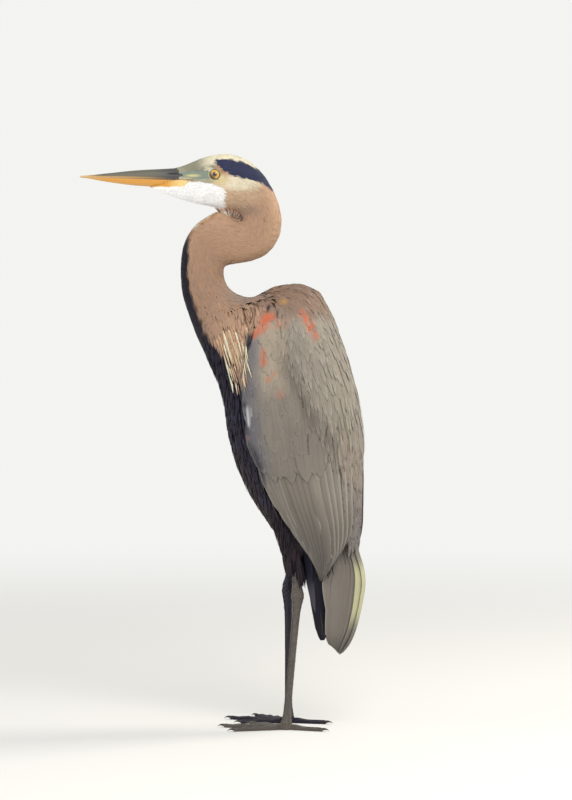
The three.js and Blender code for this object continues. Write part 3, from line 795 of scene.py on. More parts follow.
def coat_piece(name, batches, material, nodes=(), soft=False):
    """One joined mesh of many vanes. Soft ones are lit as one surface with those round them."""
    firsts = np.cumsum([0] + [len(batch["points"]) for batch in batches])
    every = {key: np.concatenate([batch[key] for batch in batches]) for key in batches[0]}
    loops = np.concatenate([batch["loops"] + first for batch, first in zip(batches, firsts)])
    starts = np.concatenate([[0], np.cumsum(every["sizes"])[:-1]])
    mesh = bpy.data.meshes.new(name)
    mesh.vertices.add(len(every["points"]))
    mesh.vertices.foreach_set("co", every["points"].astype(np.float32).ravel())
    mesh.loops.add(len(loops))
    mesh.loops.foreach_set("vertex_index", loops.astype(np.int32))
    mesh.polygons.add(len(starts))
    mesh.polygons.foreach_set("loop_start", starts.astype(np.int32))
    mesh.update(calc_edges=True)
    for map_name, key in ((BAKE_MAP, "bake"), (VANE_MAP, "vane")):
        layer = mesh.uv_layers.new(name=map_name)
        layer.uv.foreach_set("vector", every[key].astype(np.float32).ravel())
    painted(mesh, every["colours"])
    mesh.shade_smooth()
    if soft:
        mesh.normals_split_custom_set_from_vertices(every["facings"].tolist())
    triangles = int((every["sizes"] - 2).sum())
    assert triangles < TRIANGLE_LIMIT and not mesh.validate(), name
    shown(name, mesh, material, nodes)


def scattered(allowed, spacing, seed):
    """Even but unordered places on the allowed faces of the form. spacing(points) is the least
    distance between neighbours, in metres."""
    dice = np.random.default_rng(seed)
    quads = form.points[form.faces[allowed]]
    middles = quads.mean(1)
    diagonals = np.cross(quads[:, 2] - quads[:, 0], quads[:, 3] - quads[:, 1])
    wanted = np.linalg.norm(diagonals, axis=1) / 2 / spacing(middles) ** 2
    faces = dice.choice(len(quads), int(4.5 * wanted.sum()), p=wanted / wanted.sum())
    a, b = dice.random((2, len(faces), 1))
    quad = quads[faces]
    points = (1 - b) * ((1 - a) * quad[:, 0] + a * quad[:, 1]) + b * ((1 - a) * quad[:, 3] + a * quad[:, 2])
    gaps = spacing(points)
    cell = float(gaps.max())
    homes = np.floor(points / cell).astype(int).tolist()
    near = [(x, y, z) for x in (-1, 0, 1) for y in (-1, 0, 1) for z in (-1, 0, 1)]
    taken, kept = {}, []
    for number, (point, gap, home) in enumerate(zip(points.tolist(), (gaps**2).tolist(), homes)):
        around = (taken.get((home[0] + x, home[1] + y, home[2] + z), ()) for x, y, z in near)
        if all(math.dist(point, other) ** 2 >= gap for some in around for other in some):
            taken.setdefault(tuple(home), []).append(point)
            kept.append(number)
    return points[kept]


def evenly(gap):
    """The same least distance everywhere, in metres."""
    return lambda points: np.full(len(points), gap)


BREAST_WAY = unit(np.array([0, 0.40, -0.92]))  # down the front of the bird


def body_lie(points):
    nearest, reach, angle = place_on(points)
    hang = smooth(300, 360, reach) * smooth(560, 470, reach) * smooth(142, 108, np.abs(np.degrees(angle)))
    return tailward[nearest] * (1 - hang)[:, None] + BREAST_WAY * hang[:, None]


POINTED = ([0, 0.3, 0.65, 1], [0.55, 1.0, 0.8, 0.10])


def outline(profile, steps):
    return np.interp(np.linspace(0, 1, steps), *profile)


def rising(count, steps, root, tip, dice, spread=0.0003):
    """Height of each step over the form: the root is sunk in the coat, the tip stands free."""
    share = np.linspace(0, 1, steps) ** 0.8
    return root + (tip - root) * share + dice.normal(0, spread, (count, 1)) * share


def shaded(colour, dice, spread):
    return np.clip(colour * (1 + dice.normal(0, spread, (len(colour), 1))), 0, 1)


def pelt(roots, lengths, half, seed, lie=body_lie, steps=4, sunk=2.2 * MM, stand=0.3 * MM,
         profile=POINTED, across=3, spread=0.06, tone_at=plumage, sway=0.08, tint=None, flow=0.0,
         surface=form, rough=0.3 * MM, camber=0.15, thick=0.3 * MM):
    """A batch of small feathers with the colours of the places that their tips cover. flow is
    how far the colour of each step comes from its own place instead, and rough how unevenly
    the tips stand."""
    dice = np.random.default_rng(seed)
    lean = dice.normal(0, sway, len(roots))

    def swayed(points):
        ways = lie(points)
        _, out = surface.snap(points)
        return ways + np.cross(out, ways) * lean[:, None]

    line, out = combed(roots, lengths, steps, swayed, surface)
    colour = tone_at(line[:, round(0.7 * steps)])[:, None]
    if flow:
        own = tone_at(line.reshape(-1, 3)).reshape(line.shape)
        colour = colour + (own - colour) * flow
    colour = np.clip(colour * (1 + dice.normal(0, spread, (len(roots), 1, 1))), 0, 1)
    colour = np.broadcast_to(colour, line.shape)
    lift = rising(len(roots), steps + 1, -sunk, stand, dice, rough)
    shape = outline(profile, steps + 1)
    return vanes(line, out, half, shape, lift, colour, tuft_cells(line), across, camber, thick, tint)

# ------------------------------------------------------------------ head and neck feathers
# The feathers of the face are the shortest on the bird, and grow longer over the crown and
# nape. Those of the neck are soft and narrow and lie close. The lores and the eye rims are bare.
EYE_CLEAR = 10.2 * MM
BARE_RIM = 0.6 * MM
LORE_LENGTH = (9, 44)


def off_the_eye(points):
    far = [np.linalg.norm(points - centre, axis=1) for centre in eye_centres.values()]
    return np.minimum(*far) > EYE_CLEAR + BARE_RIM


def off_the_lore(points):
    ahead, _, high = face_place(points)
    lore = (ahead > LORE_LENGTH[0]) & (ahead < LORE_LENGTH[1]) & (high < 6) & (high > -7)
    bill_root = (ahead > LORE_LENGTH[1] - 1) & (high < -3) & (high > -17)
    return ~lore & ~bill_root


def coat_reach(points):
    return place_on(points)[1]


SOFT_REACH = [60, 90, 130, 300, 360, 420]
SOFT_DEPTH = [0.88, 0.85, 0.69, 0.64, 0.7, 0.87]


def soft_tone(points):
    """Plumage for soft feathers. They lie so flat that they catch more light, so it is deeper."""
    deep = np.interp(coat_reach(points), SOFT_REACH, SOFT_DEPTH)
    return plumage(points) * deep[:, None]


def head_gap(points):
    return np.interp(coat_reach(points), [0, 60, 120, 170], [1.5, 1.5, 2.0, 2.4]) * MM


head_roots = scattered(is_one_of(form_labels, HEAD_NODES), head_gap, 11)
head_roots = head_roots[off_the_eye(head_roots) & off_the_lore(head_roots)]
dice = np.random.default_rng(12)
head_lengths = np.interp(coat_reach(head_roots), [0, 50, 100, 150], [3.6, 4.6, 8, 13]) * MM
head_lengths *= dice.uniform(0.8, 1.2, len(head_roots))
head_half = head_lengths * 0.14 + 0.4 * MM
head_coat = pelt(head_roots, head_lengths, head_half, 13, steps=3, sunk=0.8 * MM, stand=0.2 * MM,
                 tone_at=soft_tone, rough=0.12 * MM, camber=0.1, thick=0.12 * MM)
head_finish = feather_finish("Head feathers", bump=0.05, sheen=0.06, barbs=8.0, mottle_size=300.0,
                             mottle=0.08, shaft_darkening=0.0)
coat_piece("head_feathers", [head_coat], head_finish, soft=True)


def neck_gap(points):
    return np.interp(coat_reach(points), [130, 300, 440], [2.3, 2.6, 3.5]) * MM


nape_base = is_one_of(form_labels, ["mantle"]) & (form_middles[:, 1] < 106 * MM)
neck_roots = scattered(is_one_of(form_labels, NECK_NODES) | nape_base, neck_gap, 21)
dice = np.random.default_rng(22)
neck_lengths = np.interp(coat_reach(neck_roots), [120, 300, 380, 450], [13, 15, 24, 32]) * MM
neck_lengths *= dice.uniform(0.8, 1.25, len(neck_roots))
neck_half = neck_lengths * 0.08 + 0.9 * MM
neck_coat = pelt(neck_roots, neck_lengths, neck_half, 23, steps=5, sunk=0.8 * MM, stand=0.1 * MM,
                 flow=0.8, spread=0.03, tone_at=soft_tone, rough=0.06 * MM, camber=0.2, thick=0.14 * MM)
neck_finish = feather_finish("Neck feathers", bump=0.05, sheen=0.03, barbs=14.0, mottle_size=160.0,
                             mottle=0.1, shaft_darkening=0.0)
coat_piece("neck_feathers", [neck_coat], neck_finish, soft=True)

# ------------------------------------------------------------------ breast and belly
# Longer, rounder feathers cover the trunk below the neck, blue-black with grey streaks. Each
# grows from the skin and lies over the roots of the ones behind it.
ROUNDED = ([0, 0.2, 0.5, 0.75, 0.92, 1], [0.4, 0.8, 1.0, 0.95, 0.6, 0.22])
nearest_step = place_on(form_middles)[0]
facing_back = (form.out * tailward[nearest_step]).sum(1) > 0.35
belly = is_one_of(form_labels, ["trunk"]) & ~facing_back & (form_middles[:, 2] > 262 * MM)
trunk_roots = scattered(belly, evenly(5.2 * MM), 31)
dice = np.random.default_rng(32)
trunk_lengths = dice.uniform(27, 40, len(trunk_roots)) * MM
trunk_half = dice.uniform(2.4, 3.6, len(trunk_roots)) * MM
trunk_coat = pelt(trunk_roots, trunk_lengths, trunk_half, 33, steps=6, sunk=3.4 * MM, stand=0.5 * MM,
                  profile=ROUNDED, across=5, spread=0.12, flow=0.5)
trunk_finish = feather_finish("Body feathers", barbs=16.0, mottle_size=80.0, mottle=0.3,
                              shaft_darkening=0.1)
coat_piece("body_feathers", [trunk_coat], trunk_finish)

# ------------------------------------------------------------------ thighs
# The leg feathers hang down the thigh and end in loose points over the bare shank. They are soft,
# and nearly black: a dark chestnut deepened with painted shade.
DOWN = np.array([0, 0.0, -1.0])
LIMB_VOXEL = 2.0 * MM


def thigh_lie(points):
    return np.tile(DOWN, (len(points), 1))


def hung(roots, ways, lengths, out, steps, half, colour, across=3):
    """Pointed feathers that leave the body and hang free."""
    share = np.linspace(0, 1, steps + 1)[None, :, None]
    bend = np.array([0, 0, -0.35])
    line = roots[:, None] + (ways[:, None] * share + bend * share**2) * lengths[:, None, None]
    halves = np.full(len(line), half)
    flat = np.zeros(line.shape[:2])
    return vanes(line, np.broadcast_to(out[:, None], line.shape), halves, outline(POINTED, steps + 1), flat,
                 colour, tuft_cells(line), across)


limbs = Surface(merged("limbs", THIGH_NODES + LEG_NODES, LIMB_VOXEL, rounds=12))
for side, sign in SIDES.items():
    leg_faces = is_one_of(form_labels, [f"thigh_{side}"]) & (form.out[:, 2] > -0.6)
    roots = scattered(leg_faces, evenly(3.2 * MM), 41)
    dice = np.random.default_rng(42)
    lengths = dice.uniform(18, 27, len(roots)) * MM
    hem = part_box(f"thigh_{side}")[0][2]
    shank_front, shank_back = (corner[1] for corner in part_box(f"shank_{side}"))
    behind = (roots[:, 1] > shank_back - 7 * MM) & (roots[:, 2] < hem + 34 * MM)
    before = (roots[:, 1] < shank_front + 4 * MM) & (roots[:, 2] < hem + 20 * MM)
    loose = roots[behind | before]
    loose_out = limbs.snap(loose)[1]
    loose_ways = unit(np.array([0, 0.13, -1.0]) + dice.normal(0, 0.02, loose.shape))
    loose_below = np.where(loose[:, 1] > shank_back - 7 * MM, 16 * MM, 5 * MM)
    loose_lengths = (loose[:, 2] - hem + loose_below) * dice.uniform(0.7, 1.0, len(loose))
    loose_up = flat_on(loose_ways, loose_out + np.array([1.2 * sign, 0, 0]))
    loose_colour = shaded(thigh_tone(loose), dice, 0.1)
    droop = hung(loose, loose_ways, loose_lengths, loose_up, 6, 2.6 * MM, loose_colour)
    lying = pelt(roots, lengths, lengths * 0.075, 43, lie=thigh_lie, steps=6, sunk=2.0 * MM,
                 stand=0.9 * MM, spread=0.15, tone_at=thigh_tone, surface=limbs)
    thigh_finish = feather_finish(f"Thigh feathers {side}", barbs=14.0, mottle_size=120.0, mottle=0.3)
    coat_piece(f"thigh_feathers_{side}", [lying, droop], thigh_finish)

# ------------------------------------------------------------------ folded wing
# Seen from the side, the wing's feathers run from the shoulder to the wing tip between its
# front and back edges. Coverts lie in rows like tiles, smallest at the shoulder; under the
# last row come the long flight feathers, and loose pointed shoulder feathers fall over all.


def wing_lie(points):
    y, z = points[:, 1] / MM, points[:, 2] / MM
    step = 4.0
    front, back = edge_at(FRONT_EDGE, z), edge_at(BACK_EDGE, z)
    share = np.clip((y - front) / np.maximum(back - front, 1), 0, 1)
    front_fall = edge_at(FRONT_EDGE, z - step) - edge_at(FRONT_EDGE, z + step)
    back_fall = edge_at(BACK_EDGE, z - step) - edge_at(BACK_EDGE, z + step)
    fall = (1 - share) * front_fall + share * back_fall
    ways = np.column_stack([np.zeros(len(y)), fall, np.full(len(y), -2 * step)])
    ways[:, 1] += 9 * smooth(596, 640, z)
    return unit(ways)


def over_the_width(heights, shares, margin):
    """Places across the wing at these heights, at shares of the way from its front edge to its back."""
    front = edge_at(FRONT_EDGE, heights) + margin
    back = edge_at(BACK_EDGE, heights) - margin
    return front + (back - front) * shares


def from_the_side(sign, y, heights):
    """Rays that come straight in from the bird's side at these places, and their starts."""
    starts = np.stack([np.full_like(y, sign * 200.0), y, heights], -1).reshape(-1, 3) * MM
    return starts, np.tile([-float(sign), 0, 0], (len(starts), 1))


# Rows of coverts: [height at the front, height at the back, feathers, length, half width].
COVERT_ROWS = [
    (636, 636, 12, 30, 5.6), (626, 628, 14, 30, 5.8), (615, 618, 15, 31, 6.0), (603, 607, 16, 32, 6.2),
    (591, 595, 17, 33, 6.4), (578, 583, 17, 34, 6.6), (565, 570, 17, 36, 7.0), (551, 556, 16, 38, 7.6),
    (536, 541, 15, 42, 8.2), (520, 524, 14, 46, 9.0), (502, 506, 13, 52, 9.8), (483, 488, 13, 58, 11.2),
    (462, 470, 12, 66, 12.4), (440, 452, 12, 76, 13.4),
]
COVERT_STEPS = 9
COVERT_SHAPE = ([0, 0.25, 0.55, 0.8, 0.93, 1], [0.45, 0.95, 1.0, 0.8, 0.45, 0.12])
COVERT_MARGIN = 4.0
COVERT_BACK = 0.97  # share of the width that the rows reach
WORN_EDGE_LIGHTENED = np.array([0.62, 0.60, 0.55])


def fringed_and_lightened(colours, along, out):
    """Paler vane edges and tip, as on worn feathers, lightened further as painted light against the shade
    lines between the rows.
    """
    edge = smooth(0.72, 1.0, out) * smooth(0.25, 0.6, along)
    tip = smooth(0.9, 1.0, along)
    return over(colours, WORN_EDGE_LIGHTENED, 0.2 * np.maximum(edge, tip))


def marked(line, even, shade):
    """A rule for colouring vanes on the wing: the marking at each point, evened by this share
    along the vane's own line, times the shade of each vane."""
    steady = wing_tone(line.reshape(-1, 3)).reshape(line.shape)

    def colours(points):
        own = wing_tone(points.reshape(-1, 3)).reshape(points.shape)
        return np.clip((own + (steady[:, :, None] - own) * even) * shade[:, None, None, None], 0, 1)

    return colours


def covert_rows(sign, seed):
    dice = np.random.default_rng(seed)
    batches = []
    for number, (front, back, count, length, half) in enumerate(COVERT_ROWS):
        shares = (np.arange(count) + 0.25 + 0.5 * (number % 2)) / count * COVERT_BACK
        shares = shares + dice.normal(0, 0.012, count)
        heights = front + (back - front) * shares + dice.normal(0, 4.2, count)
        y = over_the_width(heights, shares, COVERT_MARGIN)
        roots = form.meet(*from_the_side(sign, y, heights))[0]
        lengths = length * dice.uniform(0.88, 1.12, len(roots)) * MM
        halves = half * dice.uniform(0.94, 1.06, len(roots)) * MM
        line, out = combed(roots, lengths, COVERT_STEPS, wing_lie)
        colour = marked(line, 0.25, 1 + dice.normal(0, 0.035, len(roots)))
        lift = rising(len(roots), COVERT_STEPS + 1, -0.65 * MM, 0.12 * MM, dice, 0.04 * MM)
        shape = outline(COVERT_SHAPE, COVERT_STEPS + 1)
        batches.append(vanes(line, out, halves, shape, lift, colour, tuft_cells(line), across=7,
                             camber=0.08, thick=0.2 * MM, tint=fringed_and_lightened))
    return batches


covert_finish = feather_finish("Wing coverts", barbs=34.0, slant=9.0, shaft_width=0.018,
                               shaft_darkening=0.22, mottle_size=70.0, mottle=0.16)
for side, sign in SIDES.items():
    coat_piece(f"wing_coverts_{side}_feathers", covert_rows(sign, 51), covert_finish)

# The long inner flight feathers: each runs down one line of the wing to its own end.
# [share from front to back, height of the root, height of the tip, half width].
FLIGHT = [
    (0.02, 424, 318, 7.5), (0.07, 424, 292, 8.5), (0.13, 424, 271, 9.5), (0.20, 424, 253, 10.5),
    (0.27, 425, 239, 11.0), (0.34, 426, 229, 11.5), (0.41, 427, 222, 11.5), (0.48, 428, 219, 11.5),
    (0.55, 430, 219, 11.5), (0.62, 432, 222, 11.5), (0.69, 434, 228, 11.5), (0.76, 436, 237, 11.0),
    (0.83, 438, 247, 10.5), (0.90, 440, 258, 9.5), (0.96, 440, 271, 8.0),
]
FLIGHT_STEPS = 26
FLIGHT_SHAPE = ([0, 0.1, 0.5, 0.85, 0.95, 1], [0.5, 0.85, 1.0, 0.8, 0.5, 0.12])
PALE_RIM = np.array([0.60, 0.58, 0.50])


def slot_cells(count, columns):
    """One cell of the bake's map for each long feather, side by side."""
    place = np.arange(count)
    gap = 0.01
    wide, tall = 1 / columns, 1 / math.ceil(count / columns)
    corner = np.column_stack([place % columns * wide + gap / 2, place // columns * tall + gap / 2])
    return np.column_stack([corner, np.tile([wide - gap, tall - gap], (count, 1))])


def flight_edges(colours, along, out):
    """A fine pale rim on each long vane, and a darker middle."""
    rim = smooth(0.7, 0.95, out) * smooth(0.98, 0.88, along)
    pale = over(colours, PALE_RIM, 0.4 * rim * smooth(0.1, 0.3, along))
    return pale * (0.88 + 0.12 * smooth(0, 0.5, out))[..., None]


def flight_feathers(sign, seed):
    dice = np.random.default_rng(seed)
    shares, tops, tips, halves = np.array(FLIGHT).T
    along = np.linspace(0, 1, FLIGHT_STEPS)
    heights = tops[:, None] + (tips - tops)[:, None] * along
    y = over_the_width(heights, shares[:, None], 6.0 * smooth(205, 260, heights))
    starts, ways = from_the_side(sign, y, heights)
    hits, kept = form.meet(starts, ways)
    near = form.snap(starts + ways * 0.140)[0]
    near[kept] = hits
    out = form.snap(near)[1].reshape(y.shape + (3,))
    line = np.stack([near[:, 0].reshape(y.shape), y * MM, heights * MM], -1)
    out[..., 2] *= 0.3
    out[..., 0] += sign * 0.6
    out = unit(out)
    lift = np.linspace(-3.0, 0.2, FLIGHT_STEPS) * MM + (shares[:, None] * 2.2 - 0.6) * MM
    shade = 1 + 0.05 * (np.arange(len(shares)) % 2) + dice.normal(0, 0.04, len(shares))
    colour = marked(line, 0.3, shade)
    return vanes(line, out, halves * MM, outline(FLIGHT_SHAPE, FLIGHT_STEPS), lift, colour,
                 slot_cells(len(shares), 5), across=11, camber=0.06, thick=0.6 * MM, tint=flight_edges)


flight_finish = feather_finish("Flight feathers", barbs=90.0, slant=10.0, shaft_width=0.02,
                               shaft_darkening=0.3, mottle_size=40.0, mottle=0.15)
for side, sign in SIDES.items():
    coat_piece(f"wing_secondaries_{side}_feathers", [flight_feathers(sign, 61)], flight_finish,
               [f"wing_secondaries_{side}"])

# ------------------------------------------------------------------ shoulder and back feathers
# Loose pointed feathers fall from the shoulders and the back over the folded wings. Their ends
# are paler, and a few are tipped with white.


def back_gap(points):
    return np.interp(points[:, 2] / MM, [430, 600], [8.6, 6.6]) * MM


WORN_END = np.array([0.66, 0.63, 0.56])
PLUME_PALE = tone("bab29a")


def pale_ends(colours, along, out):
    ends = smooth(0.55, 1.0, along) * smooth(0.2, 0.8, out) + 0.6 * smooth(0.8, 1.0, along)
    return over(colours, WORN_END, 0.28 * ends)


def pale_plume(colours, along, out):
    return over(colours, PLUME_PALE, 0.8 * smooth(0.45, 0.75, along) * smooth(0.0, 0.4, out))


SHOULDER_LOW = 442  # height of the lowest shoulder feathers, in millimetres
form_height = form_middles[:, 2] / MM
on_back = is_one_of(form_labels, WING_ALL) & (form_middles[:, 2] > SHOULDER_LOW * MM)
on_back &= form_middles[:, 1] > 96 * MM
shoulder_line = np.interp(form_height, [SHOULDER_LOW, 560, 640], [14, 8, -40])
on_back &= past(SHOULDER_EDGE, form_middles) > shoulder_line
back_roots = scattered(on_back, back_gap, 71)
dice = np.random.default_rng(72)
back_height = back_roots[:, 2] / MM
back_lengths = np.interp(back_height, [SHOULDER_LOW, 540, 650], [76, 70, 36]) * MM
back_lengths *= dice.uniform(0.8, 1.2, len(back_roots))
back_half = np.interp(back_height, [SHOULDER_LOW, 650], [5.6, 5.0]) * MM
back_stand = np.interp(back_height, [SHOULDER_LOW, 560, 640], [1.3, 0.9, 0.3])[:, None] * MM
over_the_back = on_back & (form_middles[:, 2] < 520 * MM) & (np.abs(form_middles[:, 0]) > 20 * MM)
over_the_back &= form_middles[:, 1] > 176 * MM
long_roots = scattered(over_the_back, evenly(15 * MM), 74)
dice = np.random.default_rng(79)
long_lengths = dice.uniform(48, 70, len(long_roots)) * MM
back_coat = pelt(back_roots, back_lengths, back_half, 73, lie=wing_lie, steps=8, sunk=1.8 * MM,
                 stand=back_stand, profile=([0, 0.25, 0.6, 0.85, 1], [0.5, 1.0, 0.85, 0.5, 0.08]), across=5,
                 spread=0.05, sway=0.06, tint=pale_ends, tone_at=wing_tone, flow=0.8, rough=0.2 * MM)
long_coat = pelt(long_roots, long_lengths, np.full(len(long_roots), 1.7 * MM), 78, lie=wing_lie, steps=12,
                 sunk=1.0 * MM, stand=2.4 * MM, across=5, sway=0.03, tint=pale_plume, tone_at=wing_tone)
shoulder_finish = feather_finish("Shoulder feathers", barbs=40.0, slant=11.0, shaft_width=0.04,
                                 shaft_darkening=0.18, mottle_size=70.0, mottle=0.16)
coat_piece("shoulder_feathers", [back_coat, long_coat], shoulder_finish)

# ------------------------------------------------------------------ lower back
# Soft grey feathers close the back between the folded wings and fall over the root of the tail.
# Their edges are pale.
RUMP_GREY = tone("8c8177")
RUMP_DUSKY = tone("716a69")
RIM_PALE = tone("cfc8ac")


def down_the_back(points):
    return np.tile(DOWN, (len(points), 1)) - np.outer(points[:, 0], [1.6, 0, 0])


rump_half = np.interp(form_height, [296, 330, 400, 456], [28, 33, 41, 46]) * MM
on_rump = (form_middles[:, 2] > 300 * MM) & (form_middles[:, 2] < 458 * MM) & (form.out[:, 1] > 0.3)
on_rump &= (form_middles[:, 1] > 150 * MM) & (np.abs(form_middles[:, 0]) < rump_half)
rump_roots = scattered(on_rump, evenly(5.0 * MM), 75)
dice = np.random.default_rng(76)
rump_lengths = np.interp(rump_roots[:, 2] / MM, [300, 400, 456], [46, 60, 66]) * MM
rump_lengths *= dice.uniform(0.85, 1.15, len(rump_roots))
rump_widths = dice.uniform(3.0, 4.0, len(rump_roots)) * MM
rump_stand = np.interp(np.abs(rump_roots[:, 0]) / MM, [0, 25, 45], [0.5, 1.1, 2.6])[:, None] * MM
rump_rims = dice.choice([0.1, 0.15, 0.6], len(rump_roots))[:, None, None]
rump_dusk = smooth(430, 340, rump_roots[:, 2] / MM)
rump_colour = shaded(over(RUMP_GREY, RUMP_DUSKY, rump_dusk), dice, 0.05)


def rimmed(colours, along, out):
    return over(colours, RIM_PALE, rump_rims * smooth(0.6, 0.95, out) * smooth(0.15, 0.4, along))


rump_coat = pelt(rump_roots, rump_lengths, rump_widths, 77, lie=down_the_back, steps=8, sunk=0.8 * MM,
                 stand=rump_stand, profile=([0, 0.25, 0.7, 0.9, 1], [0.6, 1.0, 0.9, 0.55, 0.12]), across=5,
                 spread=0.04, sway=0.03, tint=rimmed, tone_at=lambda places: rump_colour, rough=0.12 * MM)
rump_finish = feather_finish("Back feathers", barbs=36.0, slant=9.0, shaft_width=0.04, shaft_darkening=0.15,
                             mottle_size=70.0, mottle=0.16)
coat_piece("back_feathers", [rump_coat], rump_finish)

# ------------------------------------------------------------------ folded outer flight feathers
# The outer flight feathers of each wing are nearly black. Folded, they lie one on the other
# and their ends show below the inner ones, the innermost paler and shorter.

# The folded fan's own line: [out to the side, y, z, half width in mm].
WINGLINE = [(35, 134, 298, 12), (33, 142, 240, 16), (28.5, 146, 195, 15), (25.5, 149, 160, 11.5),
            (24, 150, 131, 4)]
OUTER_COUNT = 7
OUTER_STEPS = 20
OUTER_SHAPE = ([0, 0.15, 0.6, 0.9, 1], [0.8, 1.0, 1.0, 0.8, 0.3])
OUTER_BLACK = tone("0b091a")
OUTER_GREY = tone("413f49")
OUTER_RIM = tone("b4ae9c")
OUTER_FIRST = ([0, 0.15, 0.55, 0.8, 0.93, 1], [0.8, 1.0, 0.95, 0.6, 0.25, 0.06])
# Which feathers share an outline, and how pale their edges are near the end.
OUTER_GROUPS = [(slice(0, 1), OUTER_FIRST, 0.25), (slice(1, 2), OUTER_SHAPE, 0.3),
                (slice(2, 7), OUTER_SHAPE, 0.06)]


def outer_feathers(sign, seed):
    dice = np.random.default_rng(seed)
    order = np.linspace(0, 1, OUTER_COUNT)
    ends = np.interp(order, [0, 0.17, 0.4, 0.8, 1], [0.66, 0.93, 1.0, 1.0, 0.97])
    share = np.linspace(0, 1, OUTER_STEPS) * ends[:, None]
    fan = through(WINGLINE, share.ravel()).reshape(OUTER_COUNT, OUTER_STEPS, 4)
    offset = (order[:, None] * 1.3 - 0.72) * fan[..., 3] * 0.75
    line = fan[..., :3] * np.array([sign, 1, 1])
    line[..., 1] += offset
    line[..., 0] += sign * (1.8 - 3.4 * order[:, None])
    line *= MM
    out = np.tile([float(sign), 0, 0], line.shape[:2] + (1,))
    first = (order[:, None] < 0.1) * smooth(0.3, 0.5, share)
    colour = over(OUTER_BLACK, OUTER_GREY, first)
    colour = np.clip(colour * (1 + dice.normal(0, 0.06, (OUTER_COUNT, 1, 1))), 0, 1)
    half = np.full(OUTER_COUNT, 7.4) * MM
    lift = np.zeros(share.shape)
    cells = slot_cells(OUTER_COUNT, 3)
    batches = []
    for some, profile, edge in OUTER_GROUPS:

        def edged(colours, along, out, edge=edge):
            return over(colours, OUTER_RIM, edge * smooth(0.84, 0.97, out) * smooth(0.6, 0.72, along))

        batches.append(vanes(line[some], out[some], half[some], outline(profile, OUTER_STEPS), lift[some],
                             colour[some], cells[some], across=9, camber=0.10, thick=0.5 * MM, tint=edged))
    return batches


outer_finish = feather_finish("Outer flight feathers", barbs=70.0, slant=10.0, shaft_width=0.03,
                              shaft_darkening=0.2, mottle_size=50.0, mottle=0.2)
for side, sign in SIDES.items():
    coat_piece(f"wing_primaries_{side}_feathers", outer_feathers(sign, 81), outer_finish,
               [f"wing_primaries_{side}"])

# ------------------------------------------------------------------ tail
# Twelve grey feathers hang down, the middle pair on top and the others stepped down each side.
# One feather of the middle pair lies over all the others; a cream band on it is painted sunlight.

# Down the middle of the tail: [half width, y, z in mm].
TAIL_LINE = [(15, 188.7, 306), (24, 191.7, 268), (32, 200.7, 238), (37, 203.7, 216), (39, 201.7, 194),
             (36.5, 196.7, 168), (30, 188.7, 140), (20, 178.7, 120), (9, 169.7, 108)]
TAIL_FALL = (1.0, 1.3, 0.95)  # of the half width: at the root, near the middle, near the end
TAIL_COUNT = 12
TAIL_STEPS = 24
TAIL_SHAPE = ([0, 0.1, 0.5, 0.85, 0.96, 1], [0.9, 1.0, 1.0, 0.95, 0.55, 0.15])
TAIL_GREY = tone("746e67")
TAIL_SUNLIT_CREAM = tone("b6b491")


def tail_place(share, across):
    half, y, z = through(TAIL_LINE, share).T
    fall = np.interp(share, [0.22, 0.4, 0.6], TAIL_FALL)
    return np.column_stack([half * across, y - fall * half * np.abs(across) ** 1.5, z + 5 * across**2])


def tail_edges(colours, along, out):
    """A soft pale rim, plainest on the outermost feathers."""
    strength = np.where(np.arange(TAIL_COUNT) % 6 == 5, 0.6, 0.14)[:, None, None]
    rim = strength * smooth(0.75, 0.95, out) * smooth(0.2, 0.4, along) * smooth(1.0, 0.9, along)
    return over(colours, PALE_RIM, rim)


def tail_feathers(seed):
    dice = np.random.default_rng(seed)
    pairs = np.arange(6)
    across = np.concatenate([0.09 + 0.162 * pairs, -0.12 - 0.155 * pairs])
    rank = np.concatenate([pairs, pairs + 0.6])
    ends = 1 - 0.014 * rank
    share = np.linspace(0, 1, TAIL_STEPS) * ends[:, None]
    every = np.repeat(across, TAIL_STEPS)
    line = tail_place(share.ravel(), every)
    along = tail_place(share.ravel() + 0.01, every) - line
    over_to = tail_place(share.ravel(), every + 0.02) - line
    out = unit(np.cross(along, over_to))
    out *= np.sign(out[:, 1:2])
    line = line.reshape(TAIL_COUNT, TAIL_STEPS, 3) * MM
    out = out.reshape(line.shape)
    half = np.interp(rank, [0, 0.6, 5], [10.5, 9.0, 7.5]) * MM
    lift = np.zeros(share.shape) - ((0.6 + 1.5 * np.minimum(rank, 0.6) + 0.7 * rank) * MM)[:, None]
    # Painted light: a cream band along the top feather stands in for the sunlit surface of the tail.
    sunlit_band = (np.arange(TAIL_COUNT) == 0)[:, None] * smooth(0.18, 0.3, share) * smooth(0.74, 0.6, share)
    colour = TAIL_GREY * (1 - 0.25 * smooth(0.7, 0.95, share))[..., None]
    colour = over(colour, TAIL_SUNLIT_CREAM, sunlit_band) * (1 + dice.normal(0, 0.05, (TAIL_COUNT, 1, 1)))
    shape = outline(TAIL_SHAPE, TAIL_STEPS)
    return vanes(line, out, half, shape, lift, colour, slot_cells(TAIL_COUNT, 4), across=11, camber=0.08,
                 thick=0.5 * MM, tint=tail_edges)


tail_finish = feather_finish("Tail feathers", barbs=90.0, slant=10.0, shaft_width=0.015,
                             shaft_darkening=0.1, mottle_size=40.0, mottle=0.15)
coat_piece("tail_feathers", [tail_feathers(91)], tail_finish, ["tail"])

